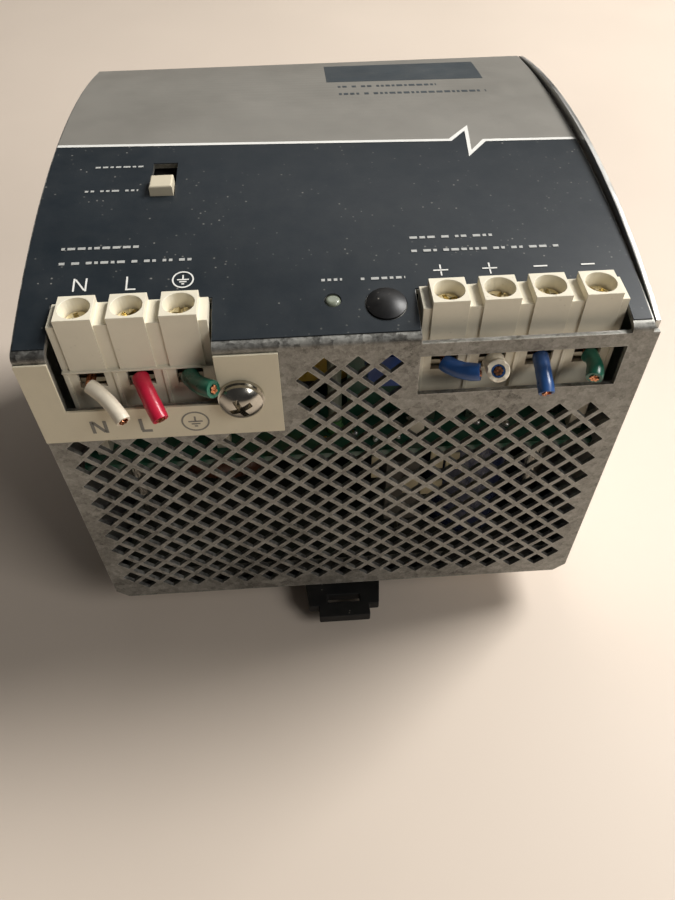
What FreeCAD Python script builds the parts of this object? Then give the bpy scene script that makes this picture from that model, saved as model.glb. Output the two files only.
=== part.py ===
# Enclosed power supply for a 35 mm rail. Units are millimetres.
# Case frame used while modelling: x across the case from its middle, y up the case from the
# outside of the lower face, z out of the case from the rear of its back plate.
# save() moves every piece into the part's own frame, which stands on the rail hooks.
import FreeCAD
import Part
import math
import os

V = FreeCAD.Vector

# Case
case_width = 120.0
case_height = 118.4
face_height = 86.0
wall_crown = 7.5
panel_crown = 7.5
panel_crown_right = 5.4
wall_sheet = 1.1
wall_bend = 2.0
wall_clear = 0.4
hood_sheet = 1.0
hood_bend = 1.6
corner_cut = 2.8
seam = 0.15
panel_gap = 0.25
foil_sheet = 0.2
foil_inset = 1.5
foil_margin = 0.12
foil_edge = 0.35

# Square vent holes, set on their corners
mesh_step = 3.2
mesh_hole = 2.45
mesh_foot = 6.2
mesh_edge = 3.0
mesh_margin = 2.0

# Terminal blocks
pole_pitch = 9.5
input_poles = 3
output_poles = 4
input_from_left = 6.7
output_from_right = 5.85
tower_width = 6.85
tower_front = 3.7
tower_depth = 7.1
tower_rise = 5.0
step_drop = 1.7
step_recess = 0.4
block_end = 0.3
block_depth = 24.5
barrier = 0.8
lip_drop = 12.3
lip_height = 0.45
lip_reach = 0.4
entry_width = 5.2
entry_height = 4.2
entry_recess = 0.35
well_radius = 2.95
well_depth = 2.5
well_floor = 0.6
screw_head_radius = 2.7
screw_head_height = 2.2
screw_radius = 1.75
screw_length = 7.2
thread_pitch = 0.6
screw_play = 0.05
slot_width = 0.8
slot_depth = 1.0
cage_width = 7.0
cage_depth = 4.1
cage_height = 11.1
cage_sheet = 0.9
cage_cap = 1.8
cage_play = 0.25
cage_travel = 3.0
busbar_width = 4.6
busbar_sheet = 1.2
busbar_tail = 2.4
busbar_play = 0.05
busbar_drop = 0.1
busbar_pin = 1.5
block_leg = 3.0

# Openings in the hood for the blocks
opening_gap = 0.5
sill_below = 7.3
window_below = 7.6
window_above = 2.5
strip_drop = 1.6

# Insulating plate and earth screw
plate_sheet = 0.5
plate_below = 15.6
plate_drop = 1.7
plate_past_earth = 7.8
earth_from_block = 4.7
earth_below = 5.0
earth_head_radius = 4.2
earth_head_height = 2.9
earth_dome = 1.9
earth_recess = 4.6
earth_radius = 2.0
earth_length = 8.0
earth_washer_radius = 4.5
earth_washer_sheet = 0.8

# Voltage selector
selector_offset = 3.9
selector_low = 40.95
selector_slot_width = 5.3
selector_slot_length = 12.3
selector_knob_length = 4.7
selector_knob_rise = 2.1
selector_play = 0.25
selector_body_width = 15.0
selector_body_length = 20.0
selector_body_depth = 11.0
selector_lid = 1.0
selector_cavity = 3.0
selector_overlap = 1.0

# Adjuster and indicator
guide_from_plug = 10.0
guide_y = 9.4
guide_radius = 1.5
guide_tip = 0.5
guide_play = 0.15
collar_width = 0.8
collar_drop = 4.0
collar_height = 1.0
lamp_radius = 1.6
lamp_height = 3.9
lamp_flange = 1.95
plug_from_block = 6.45
plug_y = 8.0
plug_hole = 2.9
plug_head = 3.8
plug_rise = 1.4
plug_ball = 8.0
plug_stem = 4.0
plug_wall = 0.8
trimmer_width = 6.8
trimmer_depth = 7.6
trimmer_height = 8.0
trimmer_drop = 17.0
trimmer_behind = 4.5
rotor_radius = 2.15
rotor_height = 2.3
rotor_play = 0.05
rotor_slot = 0.7
adjuster_board_width = 14.0
adjuster_board_drop = 6.0

# Circuit boards
board_sheet = 1.6
lower_board_z = 7.1
upper_board_z = 50.0
board_side = 3.0
board_near = 2.6
upper_board_far = 4.0
lower_board_far = 6.0
post_inset = 6.0
post_radius = 3.2
post_hole = 1.6
stud_radius = 1.5
stud_length = 4.0
sheet_lift = 1.6
sheet_thickness = 0.4

# Foot and latch for the rail
rail_width = 35.0
rail_sheet = 1.0
rail_play = 0.3
foot_height = 8.5
hook_drop = 4.0
foot_width = 48.0
foot_low = 6.0
foot_past_hook = 12.2
foot_screw_inset = 6.0
foot_wall = 2.0
latch_width = 21.0
latch_sheet = 3.0
latch_tip_width = 13.8
latch_reach = 6.9
latch_step = 3.6
latch_wing = 1.4
latch_wing_sheet = 1.8
latch_travel = 5.0
latch_play = 0.3
latch_slot_width = 8.7
latch_slot_height = 2.2
latch_slot_edge = 0.4
hook_chamfer = 1.4
boss_width = 5.6
boss_length = 2.75
boss_gap = 1.3
hook_lap = 2.5
seat_step = 0.25
hook_base = 6.8
spring_wire = 0.6
spring_radius = 1.9
spring_turns = 7
spring_room = 12.0
spring_inset = 10.0
spring_play = 0.05
pocket_width = 6.4
pocket_roof = 0.8
lighten_step = 10.0
lighten_width = 8.0
screw3_radius = 1.5
screw3_head = 2.9
screw3_head_height = 2.0
screw3_recess = 3.0
screw3_length = 6.0
hood_screw_length = 4.0
screw_sink = 4.0
flange_inset = 14.0
flange_width = 16.0
flange_depth = 10.0
thread_lap = 0.02

# Wire stubs left in the terminals
core_radius = 0.95
core_play = 0.02

# Values that follow from the sizes above
half_width = case_width / 2
panel_right = half_width - wall_sheet - panel_gap
mid_y = case_height / 2
tower_y = tower_front + tower_depth / 2
block_back = tower_front + tower_depth
step_front = tower_front + step_recess
tower_top = face_height + tower_rise
step_top = tower_top - step_drop
lip_top = tower_top - lip_drop
block_foot = tower_top - block_depth
busbar_top = lip_top - busbar_drop
input_sill = lip_top - sill_below
window_low = lip_top - window_below
window_high = lip_top + window_above
strip_top = face_height - strip_drop
plate_low = lip_top - plate_below
plate_high = face_height - plate_drop
earth_z = lip_top - earth_below
head_z = tower_top - well_depth
seat_z = head_z - screw_head_height
cavity_top = seat_z - well_floor
cage_top = cavity_top - cage_play
cage_foot = cage_top - cage_height
entry_top = lip_top - lip_height - 0.1
core_z = busbar_top - busbar_sheet - core_play - core_radius
board_top = upper_board_z + board_sheet
rail_centre = mid_y
latch_edge = rail_centre - rail_width / 2 - rail_play
hook_edge = rail_centre + rail_width / 2 + rail_play
near_y = (latch_reach - case_height) / 2
back_z = foot_height + hook_drop
input_width = input_poles * pole_pitch + 2 * block_end
output_width = output_poles * pole_pitch + 2 * block_end
input_centre = -half_width + input_from_left + input_width / 2
output_centre = half_width - output_from_right - output_width / 2
selector_x = input_centre + selector_offset
earth_x = input_centre + input_width / 2 + earth_from_block
plate_right = earth_x + plate_past_earth
plug_x = output_centre - output_width / 2 - plug_from_block
guide_x = plug_x - guide_from_plug
foot_high = hook_edge + hook_base + foot_past_hook
spring_near = foot_low + spring_inset
spring_far = spring_near + spring_room
trimmer_back = plug_y + trimmer_behind


def box(x0, x1, y0, y1, z0, z1):
    return Part.makeBox(x1 - x0, y1 - y0, z1 - z0, V(x0, y0, z0))


def mid_box(x, y, width, depth, z0, z1):
    return box(x - width / 2, x + width / 2, y - depth / 2, y + depth / 2, z0, z1)


def rod(radius, x, y, z0, z1):
    return Part.makeCylinder(radius, z1 - z0, V(x, y, z0))


def bar(radius, x, y0, y1, z):
    return Part.makeCylinder(radius, y1 - y0, V(x, y0, z), V(0, 1, 0))


def save(name, *solids):
    shape = Part.makeCompound(list(solids)) if len(solids) > 1 else solids[0]
    shape = shape.copy()
    shape.translate(V(0, near_y, back_z))
    shape.exportStep("parts/%s.step" % name)


def arc_radius(crown):
    return (mid_y ** 2 + crown ** 2) / (2 * crown)


def arc_z(y, crown, offset=0.0):
    # height of a crowned front line at y, with offset measured along its normal
    radius = arc_radius(crown)
    centre = face_height + crown - radius
    return centre + math.sqrt((radius + offset) ** 2 - (y - mid_y) ** 2)


def crown_at(x):
    # the front panel is bowed more at its left edge, which covers the wall, than at its right
    share = (x + half_width) / (2 * half_width)
    return panel_crown + (panel_crown_right - panel_crown) * share


def panel_z(x, y):
    return arc_z(y, crown_at(x))


def lean(shape, x, y):
    # turns an upright shape that stands on the panel at x, y to stand square to the panel
    angle = math.asin((mid_y - y) / arc_radius(crown_at(x)))
    shape.rotate(V(x, y, panel_z(x, y)), V(1, 0, 0), math.degrees(angle))
    return shape


def arc_edge(y0, y1, crown, offset=0.0, x=0.0):
    ends = [y0, (y0 + y1) / 2, y1]
    points = [V(x, y, arc_z(y, crown, offset)) for y in ends]
    return Part.Arc(*points).toShape()


def side_slab(edges, x0, x1):
    face = Part.Face(Part.Wire(edges))
    face.translate(V(x0, 0, 0))
    return face.extrude(V(x1 - x0, 0, 0))


def line(a, b):
    return Part.LineSegment(a, b).toShape()


def crowned_outline(y0, y1, z0, crown, offset, x=0.0):
    corners = [V(x, y0, arc_z(y0, crown, offset)), V(x, y0, z0), V(x, y1, z0)]
    corners.append(V(x, y1, arc_z(y1, crown, offset)))
    edges = [line(a, b) for a, b in zip(corners, corners[1:])]
    return edges + [arc_edge(y0, y1, crown, offset, x)]


def crowned_block(y0, y1, z0, crown, offset, x0, x1):
    return side_slab(crowned_outline(y0, y1, z0, crown, offset), x0, x1)


def bent_outline(y0, y1, z0, crown, offset, bend, x):
    # an upright leg, a bend, the crowned front line, and the same again at the other end
    radius = arc_radius(crown) + offset
    centre = face_height + crown - arc_radius(crown)
    bend_z = centre + math.sqrt((radius - bend) ** 2 - (y0 + bend - mid_y) ** 2)
    turn = math.atan2(mid_y - y0 - bend, bend_z - centre)
    half_turn = (turn + math.pi / 2) / 2
    points = [(y0, z0), (y0, bend_z)]
    points.append((y0 + bend * (1 - math.sin(half_turn)), bend_z + bend * math.cos(half_turn)))
    points.append((mid_y - radius * math.sin(turn), centre + radius * math.cos(turn)))
    near = [V(x, y, z) for y, z in points]
    far = [V(x, y0 + y1 - y, z) for y, z in points]
    edges = [line(near[0], near[1]), Part.Arc(*near[1:]).toShape()]
    edges.append(Part.Arc(near[3], V(x, mid_y, centre + radius), far[3]).toShape())
    edges += [Part.Arc(far[3], far[2], far[1]).toShape(), line(far[1], far[0]), line(far[0], near[0])]
    return edges


def panel_block(x0, x1, inset, z0, offset, bend=0):
    # the solid below the front panel's surface, or below a surface set off from it
    outlines = []
    for x in (-half_width - 2, half_width + 2):
        if bend:
            edges = bent_outline(inset, case_height - inset, z0, crown_at(x), offset, bend, x)
        else:
            edges = crowned_outline(inset, case_height - inset, z0, crown_at(x), offset, x)
        outlines.append(Part.Wire(edges))
    solid = Part.makeLoft(outlines, True, True)
    return solid.common(box(x0, x1, -1, case_height + 1, z0, face_height + 2 * wall_crown))


def rounded(shape, radius, chosen):
    return shape.makeFillet(radius, [e for e in shape.Edges if chosen(e.BoundBox)])


def panel_openings():
    # boxes that the blocks, the selector, the guide and the plug take out of the front panel
    z0, z1 = face_height - 6, face_height + 12
    y1 = block_back + opening_gap
    cuts = []
    for centre, width in ((input_centre, input_width), (output_centre, output_width)):
        half = width / 2 + opening_gap
        cuts.append([centre - half, centre + half, -1, y1, z0, z1])
    half = selector_slot_width / 2
    y0 = selector_low
    cuts.append([selector_x - half, selector_x + half, y0, y0 + selector_slot_length, z0, z1])
    return cuts


def post_places():
    x = half_width - wall_sheet - board_side - post_inset
    low = board_near + post_inset + 8
    return [(sx * x, y) for sx in (-1, 1) for y in (low, case_height - low)]


def foot_screw_places():
    x = foot_width / 2 - foot_screw_inset
    ends = (foot_low + foot_screw_inset + 2, foot_high - foot_screw_inset)
    return [(sx * x, y) for sx in (-1, 1) for y in ends]


def flange_places():
    # screws through the back plate into the hood's folded flanges
    x = half_width - flange_inset
    inset = hood_sheet + flange_depth / 2
    return [(sx * x, y) for sx in (-1, 1) for y in (inset, case_height - inset)]


def chassis():
    y0 = hood_sheet + seam
    y1 = case_height - y0
    top = face_height + wall_crown + 1
    outer = box(-half_width, half_width, y0, y1, 0, top)
    low = lambda b: b.ZMax < 0.01 and b.XLength < 0.01
    outer = rounded(outer, wall_bend, low)
    inner = box(-half_width + wall_sheet, half_width - wall_sheet, y0 - 1, y1 + 1, wall_sheet, top + 1)
    floor = lambda b: abs(b.ZMax - wall_sheet) < 0.01 and b.XLength < 0.01
    inner = rounded(inner, wall_bend - wall_sheet, floor)
    right = crowned_block(y0, y1, 0, wall_crown, 0, 0, half_width + 1)
    covered = crowned_block(y0, y1, 0, wall_crown, -hood_sheet - wall_clear, -half_width - 1, 0)
    shape = outer.cut(inner).common(right.fuse(covered))
    holes = [rod(post_hole, x, y, -1, 2) for x, y in post_places()]
    holes += [rod(screw3_radius, x, y, -1, 2) for x, y in foot_screw_places()]
    holes += [rod(screw3_radius + 0.2, x, y, -1, 2) for x, y in flange_places()]
    return shape.cut(holes)


def diamond(x, z, y):
    h = mesh_hole
    points = [V(x, y, z + h), V(x + h, y, z), V(x, y, z - h), V(x - h, y, z)]
    return Part.makePolygon(points + points[:1])


def mesh_places(blocked):
    # staggered rows of hole centres that keep clear of the boxes in blocked (x0, x1, z0, z1)
    places = []
    reach = half_width - mesh_hole - mesh_edge
    rows = int((face_height - hood_bend - mesh_hole - 1.5 - mesh_foot) / mesh_step) + 1
    columns = int(reach / mesh_step)
    for row in range(rows):
        z = mesh_foot + row * mesh_step
        for column in range(-columns, columns + 1):
            x = column * mesh_step
            staggered = (row + column) % 2 == 0
            clear = all(x + mesh_hole < b[0] or x - mesh_hole > b[1] or z + mesh_hole < b[2]
                        or z - mesh_hole > b[3] for b in blocked)
            if staggered and clear:
                places.append((x, z))
    return places


def face_sheet(y, notches, windows, blocked):
    # one flat end face of the hood with its cut corners, open notches, windows and vent holes
    h, c, top = half_width, corner_cut, face_height - hood_bend
    points = [(-h, top), (-h, c), (-h + c, 0), (h - c, 0), (h, c), (h, top)]
    for x0, x1, z0 in sorted(notches, reverse=True):
        points += [(x1, top), (x1, z0), (x0, z0), (x0, top)]
    outline = [V(x, y, z) for x, z in points]
    wires = [Part.makePolygon(outline + outline[:1])]
    for x0, x1, z0, z1 in windows:
        corners = [V(x0, y, z0), V(x1, y, z0), V(x1, y, z1), V(x0, y, z1)]
        wires.append(Part.makePolygon(corners + corners[:1]))
    wires += [diamond(x, z, y) for x, z in mesh_places(blocked)]
    face = Part.makeFace(wires, "Part::FaceMakerBullseye")
    return face.extrude(V(0, hood_sheet, 0))


def hood_arch():
    # the curved front panel with its bend at each end
    z0 = face_height - hood_bend
    outer = panel_block(-half_width, panel_right, 0, z0, 0, hood_bend)
    t = hood_sheet
    inner = panel_block(-half_width - 1, panel_right + 1, t, z0 - 1, -t, hood_bend - t)
    arch = outer.cut(inner)
    cuts = [box(*c) for c in panel_openings()]
    z1 = face_height + 12
    strip = box(output_centre - output_width, output_centre + output_width, -1, t, z0 - 1, strip_top)
    cuts[1] = cuts[1].cut(strip)
    cuts.append(rod(guide_radius + guide_play, guide_x, guide_y, z0, z1))
    cuts.append(lean(rod(plug_hole, plug_x, plug_y, z0, z1), plug_x, plug_y))
    return arch.cut(cuts)


def hood():
    half_in = input_width / 2 + opening_gap
    half_out = output_width / 2 + opening_gap
    notch = (input_centre - half_in, input_centre + half_in, input_sill)
    window = (output_centre - half_out, output_centre + half_out, window_low, window_high)
    m = mesh_margin
    blocked = [(-half_width, plate_right, plate_low, face_height)]
    blocked.append((window[0] - m, window[1] + m, window[2] - m, face_height))
    near = face_sheet(0, [notch], [window], blocked)
    far = face_sheet(case_height - hood_sheet, [], [], [])
    near = near.cut(bar(earth_radius, earth_x, -1, 2, earth_z))
    plunge = bar(earth_radius + 1.2, earth_x, hood_sheet, hood_sheet + 3, earth_z)
    plunge = plunge.cut(bar(earth_radius, earth_x, 0, 5, earth_z))
    pieces = [far, hood_arch(), plunge]
    for x, y in flange_places():
        inward = hood_sheet if y < mid_y else -hood_sheet
        edge = 0 if y < mid_y else case_height
        y0, y1 = sorted((edge + inward, edge + inward * (1 + flange_depth / hood_sheet)))
        flange = mid_box(x, (y0 + y1) / 2, flange_width, y1 - y0, wall_sheet, wall_sheet + hood_sheet)
        pieces.append(flange.cut(rod(screw3_radius, x, y, 0, 5)))
    return near.fuse(pieces).removeSplitter()


def front_foil():
    y0 = foil_inset
    y1 = case_height - foil_inset
    x0 = -half_width + foil_edge
    x1 = panel_right - foil_edge
    outer = panel_block(x0, x1, 0, face_height - 1, foil_sheet)
    inner = panel_block(x0 - 1, x1 + 1, 0, face_height - 4, 0)
    foil = outer.cut(inner).common(box(x0, x1, y0, y1, face_height - 4, face_height + 2 * wall_crown))
    z1 = face_height + 12
    m = foil_margin
    cuts = [box(c[0] - m, c[1] + m, c[2] - m, c[3] + m, c[4], c[5]) for c in panel_openings()[:2]]
    cuts.append(box(*panel_openings()[2]))
    cuts.append(rod(guide_radius + guide_play, guide_x, guide_y, face_height - 5, z1))
    cuts.append(lean(rod(plug_head + 0.2, plug_x, plug_y, face_height - 5, z1), plug_x, plug_y))
    return foil.cut(cuts)


def insulating_plate():
    half_in = input_width / 2 + opening_gap
    plate = box(-half_width, plate_right, -plate_sheet, 0, plate_low, plate_high)
    cut = box(input_centre - half_in, input_centre + half_in, -2, 2, input_sill + 0.4, plate_high + 1)
    return plate.cut([cut, bar(earth_radius + 0.2, earth_x, -2, 2, earth_z)])


def earth_washer():
    y1 = -plate_sheet
    disc = bar(earth_washer_radius, earth_x, y1 - earth_washer_sheet, y1, earth_z)
    return disc.cut(bar(earth_radius + 0.2, earth_x, y1 - 2, y1 + 1, earth_z))


def cross_recess(size, depth):
    # a cross recess for a driver, pointing down from z = 0
    wide, narrow = size, size * 0.26
    arms = [mid_box(0, 0, wide, narrow, -depth, 1), mid_box(0, 0, narrow, wide, -depth, 1)]
    return arms[0].fuse(arms[1])


def small_screw(length):
    # pan-head screw with its head from z = 0 upwards and its shank below
    head = Part.makeCylinder(screw3_head, screw3_head_height)
    head = rounded(head, screw3_head_height * 0.45, lambda b: b.ZMin > screw3_head_height - 0.01)
    shank = rod(screw3_radius - thread_lap, 0, 0, -length, 0)
    cutter = cross_recess(screw3_recess, screw3_head_height * 0.6)
    cutter.translate(V(0, 0, screw3_head_height))
    return head.fuse(shank).cut(cutter)


def earth_screw():
    # larger, with a fully domed head
    r = earth_radius - thread_lap
    ball = (earth_head_radius ** 2 + earth_dome ** 2) / (2 * earth_dome)
    head = rod(earth_head_radius, 0, 0, 0, earth_head_height)
    head = head.common(Part.makeSphere(ball, V(0, 0, earth_head_height - ball)))
    recess = cross_recess(earth_recess, earth_head_height * 0.7)
    recess.translate(V(0, 0, earth_head_height))
    screw = head.fuse(rod(r, 0, 0, -earth_length, 0)).cut(recess)
    screw.rotate(V(0, 0, 0), V(0, 0, 1), 25)
    screw.rotate(V(0, 0, 0), V(1, 0, 0), 90)
    screw.translate(V(earth_x, -plate_sheet - earth_washer_sheet, earth_z))
    return screw


def pole_x(centre, poles, index):
    return centre + (index - (poles - 1) / 2) * pole_pitch


def terminal_block(centre, poles):
    half = (poles * pole_pitch) / 2 + block_end
    x0, x1 = centre - half, centre + half
    lip_low = lip_top - lip_height
    body = box(x0, x1, step_front, block_back, lip_low, step_top)
    body = body.fuse(box(x0, x1, tower_front + entry_recess, block_back, block_foot, lip_low))
    body = body.fuse(box(x0, x1, tower_front - lip_reach, block_back, lip_low, lip_top))
    pieces = []
    for index in range(poles):
        x = pole_x(centre, poles, index)
        w = tower_width
        pieces.append(mid_box(x, tower_y, w, tower_depth, lip_top, tower_top))
    for index in range(poles + 1):
        x = pole_x(centre, poles, index - 0.5)
        x = min(max(x, x0 + barrier / 2), x1 - barrier / 2)
        pieces.append(box(x - barrier / 2, x + barrier / 2, tower_front, step_front + 1, block_foot, lip_low))
    for x in (x0 + block_leg / 2, x1 - block_leg / 2):
        pieces.append(mid_box(x, tower_y, block_leg, block_leg, board_top, block_foot))
    body = body.fuse(pieces)
    cuts = []
    for index in range(poles):
        x = pole_x(centre, poles, index)
        cuts.append(rod(well_radius, x, tower_y, seat_z, tower_top + 1))
        cuts.append(rod(screw_radius + 0.3, x, tower_y, cavity_top - 1, seat_z + 1))
        width = cage_width + 2 * cage_play
        depth = cage_depth + 2 * cage_play
        low = cage_foot - cage_travel - cage_play
        cuts.append(mid_box(x, tower_y, width, depth, low, cavity_top))
        half_entry = entry_width / 2
        cuts.append(box(x - half_entry, x + half_entry, 0, tower_y, entry_top - entry_height, entry_top))
        half_bar = busbar_width / 2 + busbar_play
        z1 = busbar_top + busbar_play
        z0 = busbar_top - busbar_sheet - busbar_play
        cuts.append(box(x - half_bar, x + half_bar, tower_y, block_back + 1, z0, z1))
    return body.cut(cuts).removeSplitter()


def busbar(x):
    top = busbar_top
    low = top - busbar_sheet
    tail_y = block_back + 0.3
    half = busbar_width / 2
    leaf = box(x - half, x + half, tower_y - cage_depth / 2 + 0.3, tail_y, low, top)
    y1 = tail_y + busbar_sheet
    tail = box(x - half, x + half, tail_y, y1, low - 2, top)
    pin = box(x - busbar_tail / 2, x + busbar_tail / 2, tail_y, y1, upper_board_z - busbar_pin, low - 2)
    return leaf.fuse([tail, pin])


def clamp_cage(x):
    half = cage_width / 2
    y0 = tower_y - cage_depth / 2
    y1 = tower_y + cage_depth / 2
    cage = box(x - half, x + half, y0, y1, cage_foot, cage_top)
    side = half - cage_sheet
    floor = core_z - core_radius - core_play
    hollow = box(x - side, x + side, y0 - 1, y1 + 1, floor, cage_top - cage_cap)
    thread = rod(screw_radius + screw_play, x, tower_y, floor, cage_top + 1)
    return cage.cut([hollow, thread])


def terminal_screw(x, turn):
    head = Part.makeCylinder(screw_head_radius, screw_head_height)
    head = rounded(head, 1.0, lambda b: b.ZMin > screw_head_height - 0.01)
    screw = head.fuse(rod(screw_radius, 0, 0, -screw_length, 0))
    slot = mid_box(0, 0, 2 * screw_head_radius + 1, slot_width, screw_head_height - slot_depth, 5)
    recess = cross_recess(3.4, slot_depth * 1.4)
    recess.translate(V(0, 0, screw_head_height))
    screw = screw.cut([slot, recess])
    screw.rotate(V(0, 0, 0), V(0, 0, 1), turn)
    screw.translate(V(x, tower_y, seat_z + 0.02))
    return screw


def wire_stub(start, bend, end, radius):
    # a short cut wire that follows an arc: its insulation, and the core that fills its bore
    arc = Part.Arc(start, bend, end).toShape()
    away = arc.tangentAt(arc.FirstParameter)
    discs = [Part.Face(Part.Wire(Part.Circle(start, away, r).toShape())) for r in (radius, core_radius)]
    turn = math.degrees(arc.LastParameter - arc.FirstParameter)
    axis = (arc.Curve.Center, arc.Curve.Axis, turn)
    return discs[0].cut(discs[1]).revolve(*axis), discs[1].revolve(*axis)


def stub_routes():
    # (colour, pole x, start y, bend, end, insulation radius) of each cut wire, in a pole's own place
    left = [pole_x(input_centre, input_poles, i) for i in range(input_poles)]
    right = [pole_x(output_centre, output_poles, i) for i in range(output_poles)]
    return [
        ("white", left[0], 1.8, (3.5, -1.2, -1.4), (6.5, -5.0, -3.2), 1.5),
        ("red", left[1], 3.5, (1.5, 0.0, -1.1), (3.9, -4.7, -3.6), 1.7),
        ("green", left[2], 3.2, (2.0, -0.1, 0.8), (5.1, -2.9, 2.0), 1.8),
        ("blue", right[0], 3.2, (2.7, 0.6, 0.2), (6.1, -0.9, 0.9), 1.75),
        ("white", right[1], 2.9, (0.0, 0.4, 0.6), (-0.4, -2.4, 2.3), 2.2),
        ("blue", right[2], 3.6, (-0.2, -0.6, -0.7), (-0.3, -4.6, -2.2), 1.6),
        ("green", right[3], 3.5, (0.5, 0.8, 0.0), (-0.3, -2.6, -0.7), 1.7),
    ]


def wires():
    jackets = {}
    cores = []
    for colour, x, start_y, bend, end, radius in stub_routes():
        middle = V(x + bend[0], bend[1], core_z + bend[2])
        tip = V(x + end[0], end[1], core_z + end[2])
        jacket, core = wire_stub(V(x, start_y, core_z), middle, tip, radius)
        lead = bar(core_radius - core_play, x, start_y, tower_y + cage_depth / 2, core_z)
        cores.append(core.fuse(lead))
        jackets.setdefault(colour, []).append(jacket.cut(lead))
    for colour, solids in jackets.items():
        save(colour + "_wires", *solids)
    save("wire_cores", *cores)


def selector_level():
    # the lowest point of the panel's inside over the selector
    return panel_z(selector_x + selector_body_width / 2, selector_low - 4) - hood_sheet - 0.15


def selector_body():
    top = selector_level()
    y = selector_low + selector_slot_length / 2
    body = mid_box(selector_x, y, selector_body_width, selector_body_length, top - selector_body_depth, top)
    cavity_y = selector_slot_length + 4 * selector_overlap + 2 * selector_play
    low = top - selector_lid - selector_cavity
    cavity = mid_box(selector_x, y, selector_slot_width + 3, cavity_y, low, top - selector_lid)
    slot = mid_box(selector_x, y, selector_slot_width, selector_slot_length, top - selector_lid - 1, top + 1)
    return body.cut([cavity, slot])


def selector_knob():
    top = selector_level()
    y = selector_low + selector_play + selector_knob_length / 2
    width = selector_slot_width - 2 * selector_play
    rise = panel_z(selector_x, y) + selector_knob_rise
    low = top - selector_lid - selector_cavity + selector_play
    lid = top - selector_lid - selector_play
    stem = mid_box(selector_x, y, width, selector_knob_length, low, rise)
    stem = rounded(stem, 0.4, lambda b: b.ZMin > rise - 0.01)
    base_width = selector_slot_width + 2 * selector_overlap
    base = mid_box(selector_x, y, base_width, selector_knob_length + 3 * selector_overlap, low, lid)
    return stem.fuse(base)


def adjuster_board():
    low = upper_board_z - busbar_pin
    top = face_height - adjuster_board_drop
    y = trimmer_back + board_sheet / 2
    return mid_box(plug_x, y, adjuster_board_width, board_sheet, low, top)


def trimmer_body():
    low = face_height - trimmer_drop
    top = low + trimmer_height
    body = mid_box(plug_x, trimmer_back - trimmer_depth / 2, trimmer_width, trimmer_depth, low, top)
    return body.cut(rod(rotor_radius + rotor_play, plug_x, plug_y, top - 2, top + 1))


def trimmer_rotor():
    low = face_height - trimmer_drop + trimmer_height - 2 + rotor_play
    rotor = rod(rotor_radius, plug_x, plug_y, low, low + rotor_height)
    slot = mid_box(plug_x, plug_y, 2 * rotor_radius - 1, rotor_slot, low + rotor_height / 2, low + 5)
    return rotor.cut(slot)


def adjuster_plug():
    # domed plug pushed into the panel over the adjuster
    level = panel_z(plug_x, plug_y) + 0.05
    dome = Part.makeSphere(plug_ball, V(plug_x, plug_y, level + plug_rise - plug_ball))
    dome = dome.common(rod(plug_head, plug_x, plug_y, level, level + 3))
    radius = plug_hole - 0.1
    stem = rod(radius, plug_x, plug_y, level - plug_stem, level + 0.2)
    stem = stem.cut(rod(radius - plug_wall, plug_x, plug_y, level - plug_stem - 1, level - 0.6))
    return lean(dome.fuse(stem), plug_x, plug_y)


def light_guide():
    tip = panel_z(guide_x, guide_y) + guide_tip
    guide = rod(guide_radius, guide_x, guide_y, board_top + lamp_height + 0.3, tip)
    low = face_height - collar_drop
    collar = rod(guide_radius + collar_width, guide_x, guide_y, low, low + collar_height)
    return rounded(guide, 0.7, lambda b: b.ZMin > tip - 0.01).fuse(collar)


def indicator_led():
    lamp = rod(lamp_radius, guide_x, guide_y, board_top, board_top + lamp_height)
    flange = rod(lamp_flange, guide_x, guide_y, board_top, board_top + 1)
    return lamp.fuse(flange)


def board(z, far_gap):
    half = half_width - wall_sheet - board_side
    shape = box(-half, half, board_near, case_height - far_gap, z, z + board_sheet)
    holes = [rod(stud_radius + 0.1, x, y, z - 1, z + 3) for x, y in post_places()]
    return shape, holes


def upper_board():
    shape, cuts = board(upper_board_z, upper_board_far)
    low = upper_board_z - 1
    for centre, poles in ((input_centre, input_poles), (output_centre, output_poles)):
        for index in range(poles):
            x = pole_x(centre, poles, index)
            y = block_back + 0.3 + busbar_sheet / 2
            cuts.append(mid_box(x, y, busbar_tail + 0.2, busbar_sheet + 0.2, low, board_top + 1))
    y = trimmer_back + board_sheet / 2
    cuts.append(mid_box(plug_x, y, adjuster_board_width + 0.2, board_sheet + 0.2, low, board_top + 1))
    return shape.cut(cuts)


def lower_board():
    shape, cuts = board(lower_board_z, lower_board_far)
    return shape.cut(cuts)


def insulating_sheet():
    half = half_width - wall_sheet - 1.5
    low = wall_sheet + sheet_lift
    sheet = box(-half, half, board_near, case_height - upper_board_far, low, low + sheet_thickness)
    holes = [rod(post_radius + 0.3, x, y, 0, 5) for x, y in post_places()]
    holes += [rod(screw3_head, x, y, 0, 5) for x, y in flange_places()]
    return sheet.cut(holes)


def lower_posts():
    posts = []
    for x, y in post_places():
        post = rod(post_radius, x, y, wall_sheet, lower_board_z)
        post = post.fuse(rod(post_hole, x, y, 0, wall_sheet))
        posts.append(post.cut(rod(stud_radius, x, y, wall_sheet, lower_board_z + 1)))
    return posts


def upper_posts():
    posts = []
    for x, y in post_places():
        low = lower_board_z + board_sheet
        post = rod(post_radius, x, y, low, upper_board_z)
        post = post.fuse(rod(stud_radius - thread_lap, x, y, lower_board_z - stud_length, low))
        posts.append(post.cut(rod(stud_radius, x, y, upper_board_z - 6, upper_board_z + 1)))
    return posts


def board_screws():
    screws = []
    for x, y in post_places():
        screw = small_screw(screw3_length)
        screw.translate(V(x, y, board_top))
        screws.append(screw)
    return screws


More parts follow.
